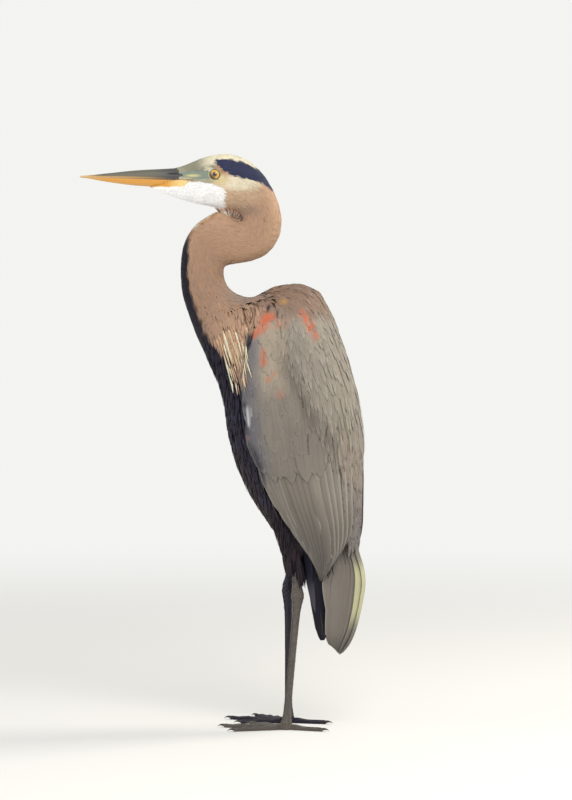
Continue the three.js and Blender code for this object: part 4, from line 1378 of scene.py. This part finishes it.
# ------------------------------------------------------------------ vent and tail coverts
# Dark, soft feathers hang from the end of the trunk, between the thighs and under the tail.
# They grow from the skin and hide where the body ends.
at_end = is_one_of(form_labels, ["trunk"]) & (form_middles[:, 2] < 300 * MM)
at_end &= (form_middles[:, 1] > 112 * MM) & (form_middles[:, 1] < 166 * MM)
vent_roots = scattered(at_end, evenly(3.4 * MM), 95)
dice = np.random.default_rng(96)
_, vent_out = form.snap(vent_roots)
vent_ways = unit(np.array([0, 0.12, -1.0]) + 0.15 * vent_out + dice.normal(0, 0.06, vent_out.shape))
vent_side = flat_on(vent_ways, vent_out + np.array([0, 0.02, 0]))
vent_lengths = np.interp(np.abs(vent_roots[:, 0]) / MM, [0, 20, 45], [16, 22, 30]) * MM
vent_lengths *= dice.uniform(0.8, 1.1, len(vent_roots))
vent_streaks = dice.random(len(vent_roots)) * 0.5
vent_colour = shaded(over(BLUE_BLACK, BREAST_GREY, vent_streaks), dice, 0.1)
vent_coat = hung(vent_roots - vent_out * 2 * MM, vent_ways, vent_lengths, vent_side, 6, 3.4 * MM,
                 vent_colour, across=5)
vent_finish = feather_finish("Vent feathers", barbs=16.0, mottle_size=90.0, mottle=0.3)
coat_piece("vent_feathers", [vent_coat], vent_finish)

# ------------------------------------------------------------------ plumes of the lower neck
# Long narrow plumes hang from the root of the neck over the breast. They are cream and grey, and
# each has a dark middle.
PLUME_TONES = np.array([tone("efe8ca"), tone("d3a984"), tone("b8937a"), tone("a39185"), tone("d9c3a0")])
PLUME_SHARES = [0.44, 0.22, 0.14, 0.06, 0.14]
PLUME_DARK = tone("3a3540")


def under_the_neck(points):
    """Whether plumes grow at these places: at the root of the neck, clear of its black line."""
    _, reach, angle = place_on(points)
    side = np.abs(np.degrees(angle))
    y, z = points[:, 1] / MM, points[:, 2] / MM
    past_black = y > -4 + (568 - z) * 0.435
    at_root = (reach > 372) & (reach < 490) & (side > 34) & (side < 100)
    return at_root & (z > 512) & (z < 586) & past_black


def dark_middle(colours, along, out):
    return over(colours, PLUME_DARK, 0.45 * smooth(0.4, 0.05, out) * smooth(0.15, 0.4, along))


may_bear = under_the_neck(form_middles) & is_one_of(form_labels, NECK_NODES + ["trunk"])
plume_roots = scattered(may_bear, evenly(5.2 * MM), 97)
dice = np.random.default_rng(98)
plume_drop = plume_roots[:, 2] / MM - 484
plume_lengths = np.minimum(dice.uniform(34, 60, len(plume_roots)), plume_drop) * MM
plume_choice = PLUME_TONES[dice.choice(len(PLUME_TONES), len(plume_roots), p=PLUME_SHARES)]
plume_coat = pelt(plume_roots, plume_lengths, np.full(len(plume_roots), 1.8 * MM), 99, steps=10,
                  sunk=1.6 * MM, stand=1.2 * MM, across=5, tone_at=lambda places: plume_choice, sway=0.04,
                  tint=dark_middle)
plume_finish = feather_finish("Neck plumes", barbs=30.0, mottle_size=120.0, mottle=0.12,
                              shaft_darkening=0.1)
coat_piece("neck_plumes", [plume_coat], plume_finish)

# ------------------------------------------------------------------ throat patch
# A pale tuft fills the bend between the throat and the neck folded up against it. Its feathers
# grow from both sides and meet in the middle.
FOLD = brow + (-22 * AHEAD + np.array([0, 0, -57])) * MM
FOLD_REACH = 25 * MM
by_the_fold = np.linalg.norm(form_middles - FOLD, axis=1) < FOLD_REACH
fold_roots = scattered(by_the_fold, evenly(1.7 * MM), 121)
dice = np.random.default_rng(122)
_, fold_out = form.snap(fold_roots)
to_fold = unit(FOLD - fold_roots)
fold_spread = dice.normal(0, 0.1, fold_out.shape)
fold_ways = unit(to_fold + 0.5 * fold_out + 0.4 * body_lie(fold_roots) + fold_spread)
facing = (fold_out * to_fold).sum(1) > 0.15
fold_roots, fold_out, fold_ways = fold_roots[facing], fold_out[facing], fold_ways[facing]
fold_lengths = dice.uniform(9, 14, len(fold_roots)) * MM
fold_side = flat_on(fold_ways, np.broadcast_to(ASIDE, fold_ways.shape))


def fold_tone(points):
    places = points.reshape(-1, 3)
    ahead, _, high = face_place(places)
    colour = over(WARM_MAUVE, GREY_MAUVE, 0.5 + 0.5 * ripple(places, 5 * MM, 13))
    middle_white = patch(ahead, high, -14, -59, 8, 5, 1.3, 0.8)
    white = np.maximum(middle_white, smooth(-50, -46, high) * smooth(-16, -11, ahead))
    colour = over(colour, WHITE, white)
    # Painted shade: a dark patch deep in the rear corner of the bend.
    bend_shade = smooth(4.5, 2.5, np.abs(ahead + 40)) * smooth(8, 5, np.abs(high + 62))
    return over(colour, THIGH_BROWN, 0.8 * bend_shade).reshape(points.shape)


fold_coat = hung(fold_roots - fold_out * MM, fold_ways, fold_lengths, fold_side, 4, 1.3 * MM, fold_tone)
fold_finish = feather_finish("Throat feathers", barbs=8.0, mottle_size=200.0, mottle=0.1,
                             shaft_darkening=0.0)
coat_piece("throat_feathers", [fold_coat], fold_finish)

# ------------------------------------------------------------------ horn, scale and eye finish
# Fine streaks run along horn and scale, and out from the pupil in the iris. They follow each
# piece's own length and width.
streaks, into, out_of = group_of(
    "Fine streaks",
    [
        ("Colour", COLOUR, None),
        ("Across", FLOAT, 40.0),
        ("Along", FLOAT, 3.0),
        ("Contrast", FLOAT, 0.2),
        ("Base roughness", FLOAT, 0.35),
    ],
    [("Colour", COLOUR), ("Roughness", FLOAT), ("Height", FLOAT)],
)
streak_place = node(streaks, "UVMap", uv_map=VANE_MAP)
streak_axes = node(streaks, "SeparateXYZ", [(0, streak_place.outputs[0])])
grain_across = maths(streaks, "MULTIPLY", streak_axes.outputs[0], into.outputs["Across"])
grain_along = maths(streaks, "MULTIPLY", streak_axes.outputs[1], into.outputs["Along"])
stretched = node(streaks, "CombineXYZ", [(0, grain_across), (1, grain_along)])
grain = node(streaks, "TexNoise", [("Vector", stretched.outputs[0]), ("Scale", 1.0), ("Detail", 4.0)])
grain_off = maths(streaks, "SUBTRACT", grain.outputs[0], 0.5)
grain_light = maths(streaks, "ADD", maths(streaks, "MULTIPLY", grain_off, into.outputs["Contrast"]), 1.0)
streaks.links.new(times(streaks, into.outputs["Colour"], grain_light), out_of.inputs["Colour"])
grain_rough = maths(streaks, "MULTIPLY", grain_off, 0.2)
streak_rough = maths(streaks, "ADD", grain_rough, into.outputs["Base roughness"])
streaks.links.new(streak_rough, out_of.inputs["Roughness"])
streaks.links.new(grain.outputs[0], out_of.inputs["Height"])


def streaked_finish(name, bump=0.1, coat=0.0, **values):
    """Smooth finish of horn, scale or eye, under a clear coat of this strength."""
    return finish(name, streaks, 0.0003, bump, {"Coat Weight": coat, "Coat Roughness": 0.03}, values)


def lofted(name, rings, colours, material, nodes):
    """A closed piece through rings of points, all with as many points each."""
    steps, around, _ = rings.shape
    corners, walls = walls_between(steps, around)
    wall_uv = np.stack([np.stack([b / around, a / (steps - 1)], -1) for a, b in corners], -2).reshape(-1, 2)
    first = list(range(around))[::-1]
    last = [(steps - 1) * around + k for k in range(around)]
    mesh = bpy.data.meshes.new(name)
    mesh.from_pydata(rings.reshape(-1, 3).tolist(), [], walls.tolist() + [first, last])
    vane_place = mesh.uv_layers.new(name=VANE_MAP)
    end_uv = np.concatenate([np.tile([0.5, 0.0], (around, 1)), np.tile([0.5, 1.0], (around, 1))])
    vane_place.uv.foreach_set("vector", np.concatenate([wall_uv, end_uv]).astype(np.float32).ravel())
    painted(mesh, colours.reshape(-1, 3))
    fix = bmesh.new()
    fix.from_mesh(mesh)
    bmesh.ops.recalc_face_normals(fix, faces=fix.faces)
    fix.to_mesh(mesh)
    fix.free()
    mesh.shade_smooth()
    shown(name, mesh, material, nodes)

# ------------------------------------------------------------------ bill
# Two halves of horn meet along the gape. The upper is dusky over the ridge and yellow along its
# edge, with a groove that ends in the slit of the nostril. The lower is orange-yellow.
BILL_LENGTH = 162.0
BILL_TIP = (195.6, -2.3)  # ahead of the eyes and above them, in millimetres
# Stations along each half, from the tip: [share, height of the gape, depth, half width in mm].
UPPER_BILL = [(0, 0, 1.0, 0.8), (0.25, -1.2, 6.0, 3.6), (0.5, -2.5, 11.4, 6.2), (0.75, -3.7, 14.8, 8.8),
              (1, -5.4, 18.5, 11.4)]
LOWER_BILL = [(0, -0.35, 1.0, 0.7), (0.25, -1.55, 6.4, 3.3), (0.5, -2.85, 10.4, 5.7),
              (0.75, -4.05, 11.4, 7.9), (1, -5.75, 11.4, 10.2)]
BILL_STEPS = 150
BILL_AROUND = 56
LEDGE_STEPS = 12  # across the flat face that meets the other half
GROOVE_ANGLE = 33  # degrees round from the gape
NOSTRIL_AT = 0.83  # share of the bill's length from the tip
BILL_DUSKY = tone("5a574b")
BILL_BASE = tone("262837")
BILL_YELLOW = tone("cfa257")
BILL_PALE = tone("e6cf9a")
NOSTRIL_BLACK = tone("1c1b1e")
GAPE_DARK = tone("5a3a28")
horn = streaked_finish("Bill horn", across=26.0, along=2.2, contrast=0.22, base_roughness=0.34, bump=0.12,
                       coat=0.15)


def bill_half(stations, up):
    share = np.linspace(0, 1, BILL_STEPS)
    _, gape, depth, half = through(stations, share).T
    angle = np.linspace(0, np.pi, BILL_AROUND)
    arc, top = np.cos(angle), np.sin(angle) ** 0.85
    ledge = np.linspace(-1, 1, LEDGE_STEPS)[1:-1]
    arc, top = np.concatenate([arc, ledge]), np.concatenate([top, 0 * ledge])
    aside = half[:, None] * arc
    rise = up * depth[:, None] * top
    if up > 0:
        slant = np.abs(np.degrees(np.arctan2(np.abs(top), np.abs(arc) + 1e-9))) - GROOVE_ANGLE
        groove = np.exp(-((slant / 5) ** 2)) * (arc**2 + top**2 > 0.3)
        long_groove = 0.45 * smooth(0.3, 0.5, share) * smooth(0.98, 0.9, share)
        nostril = 1.3 * np.exp(-(((share - NOSTRIL_AT) / 0.05) ** 4))
        dip = (long_groove + nostril)[:, None] * groove * np.minimum(1, half[:, None] / 9)
        into_bill = 1 - dip / half[:, None]
        aside, rise = aside * into_bill, rise * into_bill
    tip_ahead, tip_high = BILL_TIP
    ahead = np.broadcast_to((tip_ahead - share * BILL_LENGTH)[:, None], aside.shape)
    high = tip_high + gape[:, None] + rise
    points = brow + (ahead[..., None] * AHEAD + aside[..., None] * ASIDE) * MM
    points[..., 2] += high * MM
    level = np.abs(rise) / depth[:, None]
    back_share = np.broadcast_to(share[:, None], level.shape)
    if up > 0:
        colour = over(BILL_YELLOW, BILL_DUSKY, smooth(0.07, 0.5, level + 0.5 * back_share - 0.12))
        colour = over(colour, BILL_YELLOW, 0.85 * smooth(0.22, 0.02, back_share))
        colour = over(colour, BILL_BASE, 0.7 * smooth(0.6, 0.85, back_share))
        colour = over(colour, NOSTRIL_BLACK, smooth(0.55, 1.1, groove * nostril[:, None]))
    else:
        colour = over(BILL_ORANGE, BILL_YELLOW, smooth(0.25, 0.05, back_share))
        colour = over(colour, BILL_PALE, 0.75 * smooth(0.7, 1.0, back_share))
        colour = over(colour, BILL_PALE, 0.3 * smooth(0.6, 1.0, level))
    on_ledge = np.broadcast_to(np.abs(top) < 1e-6, level.shape)
    return points, over(colour, GAPE_DARK, 0.8 * on_ledge)


for name, stations, up in (("upper", UPPER_BILL, 1), ("lower", LOWER_BILL, -1)):
    bill_rings, bill_colours = bill_half(stations, up)
    lofted(f"bill_{name}_horn", bill_rings, bill_colours, horn, [f"bill_{name}"])

# ------------------------------------------------------------------ eyes
# Each eye is a clear wet ball, a little fuller in front, with a black pupil in a golden iris. It
# sits in its socket behind the two lids.
PUPIL = 2.9  # millimetres
IRIS = 7.0
IRIS_RIM = tone("b47c26")
IRIS_GOLD = tone("dcae48")
PUPIL_BLACK = tone("0b0a0a")
EYE_EDGE = tone("1d1612")
EYE_SHADOW = tone("3a2a1c")
wet_eye = streaked_finish("Wet eye", across=46.0, along=1.4, contrast=0.35, base_roughness=0.25, bump=0.0,
                          coat=1.0)
BALL_STEPS = 46
BALL_AROUND = 72
for side, centre in eye_centres.items():
    axis = eye_axes[side]
    level_way = unit(np.cross(axis, [0, 0, 1.0]))
    upright_way = np.cross(level_way, axis)
    angle = np.pi * np.linspace(0.004, 0.996, BALL_STEPS) ** 1.25
    turn = np.linspace(0, 2 * np.pi, BALL_AROUND, endpoint=False)
    bulge = EYE_RADIUS * (1 + 0.045 * smooth(0.75, 0.1, angle))
    away = bulge * np.sin(angle)
    ring = np.cos(turn)[:, None] * level_way + np.sin(turn)[:, None] * upright_way
    balls = away[:, None, None] * ring + (bulge * np.cos(angle))[:, None, None] * axis
    out_share = np.where(angle < np.pi / 2, away, 20)
    colour = over(IRIS_RIM, IRIS_GOLD, smooth(PUPIL + 0.3, IRIS - 1.5, out_share))
    colour = over(colour, PUPIL_BLACK, smooth(PUPIL + 0.25, PUPIL - 0.25, out_share))
    colour = over(colour, EYE_EDGE, smooth(IRIS - 0.9, IRIS - 0.1, out_share))
    colour = np.repeat(colour[:, None], BALL_AROUND, 1)
    low_front = smooth(0.1, 0.9, ring @ (0.8 * AHEAD - np.array([0, 0, 0.6])))
    shadow = 0.9 * smooth(PUPIL - 0.4, PUPIL + 1.6, out_share)[:, None] * low_front
    colour = over(colour, EYE_SHADOW, shadow)
    lofted(f"eye_{side}_ball", centre + balls * MM, colour, wet_eye, [f"eye_{side}"])

# ------------------------------------------------------------------ scutes of the legs and toes
# Broad horny plates overlap down the front of each leg and along the top of each toe. Small
# ones cover the sides and back.
FEET = {"left": (33, 98.7), "right": (-33, 80.7)}  # where the legs meet the floor, [x, y] in mm
HEEL_BEHIND = {"left": 17.0, "right": 0.0}
HEEL_HEIGHT = 197.0
LEG_TOP = 236.0
# Each toe: [degrees out from straight ahead, length in mm].
TOE_SHAPES = {"middle": (5, 84), "outer": (34, 70), "inner": (-24, 62), "hind": (176, 48)}
HUB = 8.5  # from the leg's middle to the root of a toe
legs = Surface(merged("legs", LEG_NODES, SKIN_VOXEL, SKIN_ROUNDS))
SCUTE_SHAPE = ([0, 0.2, 0.5, 0.8, 1], [0.8, 1.0, 1.0, 0.95, 0.7])
SCUTE_STEPS = 4
LEG_STATIONS = [14, 30, 170, 195, 215]  # heights at which the plates' widths are given
FRONT_ROW = 4.6
SIDE_ROW = 3.3
SIDE_TURNS = np.radians(np.arange(72, 300, 36))


def leg_axis(side, high):
    x, y = FEET[side]
    behind = HEEL_BEHIND[side] * np.minimum(high / HEEL_HEIGHT, 1)
    return np.column_stack([np.full_like(high, x), y + behind, high])


def on_the_leg(side, high, turn):
    """Places round a leg, at heights in mm and turns from straight ahead."""
    way = np.column_stack([np.sin(turn), -np.cos(turn), 0 * turn])
    return legs.meet((leg_axis(side, high) + 30 * way) * MM, -way)


def plates(roots, heading, length, half, camber, colour, seed):
    """Thin closed plates on the leg, each pointing the way of its heading."""
    dice = np.random.default_rng(seed)
    share = np.linspace(0, 1, SCUTE_STEPS)[None, :, None]
    line = roots[:, None] + heading[:, None] * share * length[:, None, None]
    near, out = legs.snap(line.reshape(-1, 3))
    line, out = near.reshape(line.shape), out.reshape(line.shape)
    lift = np.linspace(-0.05, 0.35, SCUTE_STEPS) * MM + np.zeros((len(roots), 1))
    tones = shaded(np.broadcast_to(colour, (len(roots), 3)), dice, 0.10)
    return vanes(line, out, half, outline(SCUTE_SHAPE, SCUTE_STEPS), lift, tones,
                 slot_cells(len(roots), 26), across=5, camber=camber, thick=0.35 * MM)


def leg_plates(side, seed):
    """One row of broad plates down the front of a leg, and small ones round the rest."""
    high = np.arange(14, LEG_TOP, FRONT_ROW)
    roots, kept = on_the_leg(side, high, np.zeros_like(high))
    width = np.interp(high[kept], LEG_STATIONS, [4.6, 3.5, 3.6, 5.6, 4.4]) * MM
    down = np.tile(DOWN, (len(roots), 1))
    broad = plates(roots, down, np.full(len(roots), 6.0 * MM), width, 0.42, LEG_TONES_FAR_SHADED[side], seed)
    rows = np.arange(13, LEG_TOP, SIDE_ROW)
    high, turn = (grid.ravel() for grid in np.meshgrid(rows, SIDE_TURNS, indexing="ij"))
    turn = turn + np.radians(18) * (np.round((high - 13) / SIDE_ROW) % 2)
    roots, kept = on_the_leg(side, high, turn)
    width = np.interp(high[kept], LEG_STATIONS, [2.6, 1.75, 1.85, 2.9, 2.2]) * MM
    down = np.tile(DOWN, (len(roots), 1))
    dull = LEG_TONES_FAR_SHADED[side] * 0.94
    return [broad, plates(roots, down, np.full(len(roots), 4.0 * MM), width, 0.25, dull, seed + 1)]


def toe_line(side, toe):
    """The way that a toe points, the way across it, and how far from the hub it ends, in mm."""
    turn, length = TOE_SHAPES[toe]
    heading = SIDES[side] * math.radians(turn)
    way = np.array([math.sin(heading), -math.cos(heading), 0])
    return way, np.array([math.cos(heading), math.sin(heading), 0]), length


def toe_plates(side, toe, seed):
    """Three rows of plates along the top of a toe, the broadest in the middle."""
    way, crossways, length = toe_line(side, toe)
    batches = []
    for aside, gap, half, camber in ((0, 3.0, 2.6, 0.4), (2.4, 2.6, 1.3, 0.2), (-2.4, 2.6, 1.3, 0.2)):
        along = np.arange(HUB + 1.5, HUB + length - 1, gap)
        starts = np.array([*FEET[side], 24.0]) + along[:, None] * way + aside * crossways
        roots, kept = legs.meet(starts * MM, np.tile(DOWN, (len(along), 1)))
        slim = np.interp(along[kept], [HUB, HUB + length], [1.1, 0.72])
        batches.append(plates(roots, np.tile(way, (len(roots), 1)), np.full(len(roots), (gap + 1.2) * MM),
                              half * slim * MM, camber, LEG_TONES_FAR_SHADED[side] * 0.9, seed))
    return batches


scute_finish = streaked_finish("Leg scutes", across=5.0, along=4.0, contrast=0.3, base_roughness=0.5,
                               bump=0.3)
for side in SIDES:
    every = leg_plates(side, 101)
    for number, toe in enumerate(TOES):
        every += toe_plates(side, toe, 110 + number)
    coat_piece(f"leg_scutes_{side}", every, scute_finish)

# ------------------------------------------------------------------ claws
# A short dark claw grows from the end of each toe and arches down to a blunt point. It is horn,
# paler where it leaves the toe.
CLAW_LENGTH = 11.0
CLAW_HALF = 2.15
CLAW_STEPS = 16
CLAW_AROUND = 20
CLAW_DARK = tone("2a2622")
claw_horn = streaked_finish("Claw horn", across=12.0, along=3.0, contrast=0.3, base_roughness=0.35,
                            bump=0.1)
share = np.linspace(0, 1, CLAW_STEPS)
turn_round = np.linspace(0, 2 * np.pi, CLAW_AROUND, endpoint=False)
girth = np.maximum(CLAW_HALF * (1 - share**1.3), 0.12)
for side in SIDES:
    for toe in TOES:
        way, crossways, length = toe_line(side, toe)
        along = HUB + 0.2 + length - 1.4 + share * (CLAW_LENGTH + 1.2)
        spine = np.array([*FEET[side], 0]) + along[:, None] * way
        spine[:, 2] = 3.0 + 1.6 * np.sin(np.pi * share * 0.8) - 2.5 * share**2
        round_it = np.cos(turn_round)[:, None] * crossways * 0.85 - np.sin(turn_round)[:, None] * DOWN
        rings = spine[:, None] + girth[:, None, None] * round_it
        rings[..., 2] = np.maximum(rings[..., 2], 0.15)
        colour = over(LEG_TONES_FAR_SHADED[side], CLAW_DARK, smooth(0, 0.25, share))
        lofted(f"claw_{toe}_{side}_horn", rings * MM, np.repeat(colour[:, None], CLAW_AROUND, 1), claw_horn,
               [f"claw_{toe}_{side}"])

# ------------------------------------------------------------------ floor, lamps and camera
# A plain pale floor and soft studio light. The camera looks at the bird's left side from a
# little behind and a little above, through a long lens.
CAMERA_AROUND = math.radians(108)
CAMERA_ABOVE = math.radians(4)
LENS = 200.0
SENSOR = 36.0
VIEW_HEIGHT = 1.160  # metres that the picture takes in at the bird
VIEW_RIGHT = -0.0058  # metres from the body's middle line to the middle of the picture
VIEW_UP = 0.4756
VIEW_BACK = 0.035
BODY_MIDDLE = np.array([0, 0.09366, 0])  # that line's foot, in the frame
BACKDROP = (0.90, 0.90, 0.88, 1)
FLOOR_RADIUS = 40
FADE = (0.7, 2.6)  # metres from the middle, over which the floor fades into the backdrop
BIRD_MIDDLE = Vector((0, 0.05, 0.45))
scene = bpy.context.scene


def way_to(around, above):
    """The way from the bird to a place round it and above it, both angles in radians."""
    level = math.cos(above)
    return np.array([math.sin(around) * level, -math.cos(around) * level, math.sin(above)])


back = way_to(CAMERA_AROUND, CAMERA_ABOVE)
right = np.array([math.cos(CAMERA_AROUND), math.sin(CAMERA_AROUND), 0])
upright = np.cross(back, right)
target = VIEW_RIGHT * right + VIEW_UP * upright + VIEW_BACK * back + BODY_MIDDLE
distance = VIEW_HEIGHT / 2 / (SENSOR / 2 / LENS)
camera_data = bpy.data.cameras.new("camera")
camera_data.lens = LENS
camera_data.sensor_width = SENSOR
camera_data.clip_end = 100
camera = bpy.data.objects.new("camera", camera_data)
scene.collection.objects.link(camera)
camera.location = target + back * distance
camera.rotation_mode = "QUATERNION"
camera.rotation_quaternion = Vector(-back).to_track_quat("-Z", "Y")
scene.camera = camera

world = bpy.data.worlds.new("studio")
world.use_nodes = True
scene.world = world
tree = world.node_tree
tree.nodes.clear()
paths = node(tree, "LightPath")
seen = maths(tree, "MAXIMUM", paths.outputs["Is Camera Ray"], paths.outputs["Is Glossy Ray"])
soft = node(tree, "Background", [("Color", (1, 1, 1, 1)), ("Strength", 0.55)])
plain = node(tree, "Background", [("Color", BACKDROP), ("Strength", 1.0)])
either = node(tree, "MixShader", [(0, seen), (1, soft.outputs[0]), (2, plain.outputs[0])])
node(tree, "OutputWorld", [(0, either.outputs[0])])

floor_mesh = bpy.data.meshes.new("floor")
shape = bmesh.new()
bmesh.ops.create_circle(shape, cap_ends=True, segments=96, radius=FLOOR_RADIUS)
shape.to_mesh(floor_mesh)
shape.free()
floor = object_of("floor", floor_mesh)
paint = bpy.data.materials.new("Floor")
paint.use_nodes = True
tree = paint.node_tree
matt = tree.nodes["Principled BSDF"]
matt.inputs["Base Color"].default_value = (0.8, 0.8, 0.78, 1)
matt.inputs["Roughness"].default_value = 0.9
glow = node(tree, "Emission", [("Color", BACKDROP), ("Strength", 1.0)])
place = node(tree, "TexCoord").outputs["Object"]
far = node(tree, "VectorMath", [(0, place)], operation="LENGTH").outputs["Value"]
fade = node(tree, "MapRange", [("Value", far), ("From Min", FADE[0]), ("From Max", FADE[1])])
fade.interpolation_type = "SMOOTHSTEP"
mixed = node(tree, "MixShader", [(0, fade.outputs[0]), (1, matt.outputs[0]), (2, glow.outputs[0])])
tree.links.new(mixed.outputs[0], tree.nodes["Material Output"].inputs[0])
floor_mesh.materials.append(paint)


def lamp(name, around, above, away, size, watts, colour):
    """A square soft lamp that faces the middle of the bird."""
    data = bpy.data.lights.new(name, "AREA")
    data.size = size
    data.energy = watts
    data.color = colour
    made = bpy.data.objects.new(name, data)
    scene.collection.objects.link(made)
    way = Vector(way_to(math.radians(around), math.radians(above)))
    made.location = BIRD_MIDDLE + way * away
    made.rotation_mode = "QUATERNION"
    made.rotation_quaternion = way.to_track_quat("Z", "Y")


lamp("key", 130, 42, 2.6, 1.6, 42, (1.0, 0.96, 0.9))
lamp("fill", 40, 25, 2.8, 2.0, 16, (0.95, 0.97, 1.0))
lamp("rim", 215, 35, 2.6, 0.9, 34, (1.0, 0.94, 0.84))
scene.view_settings.view_transform = "Standard"
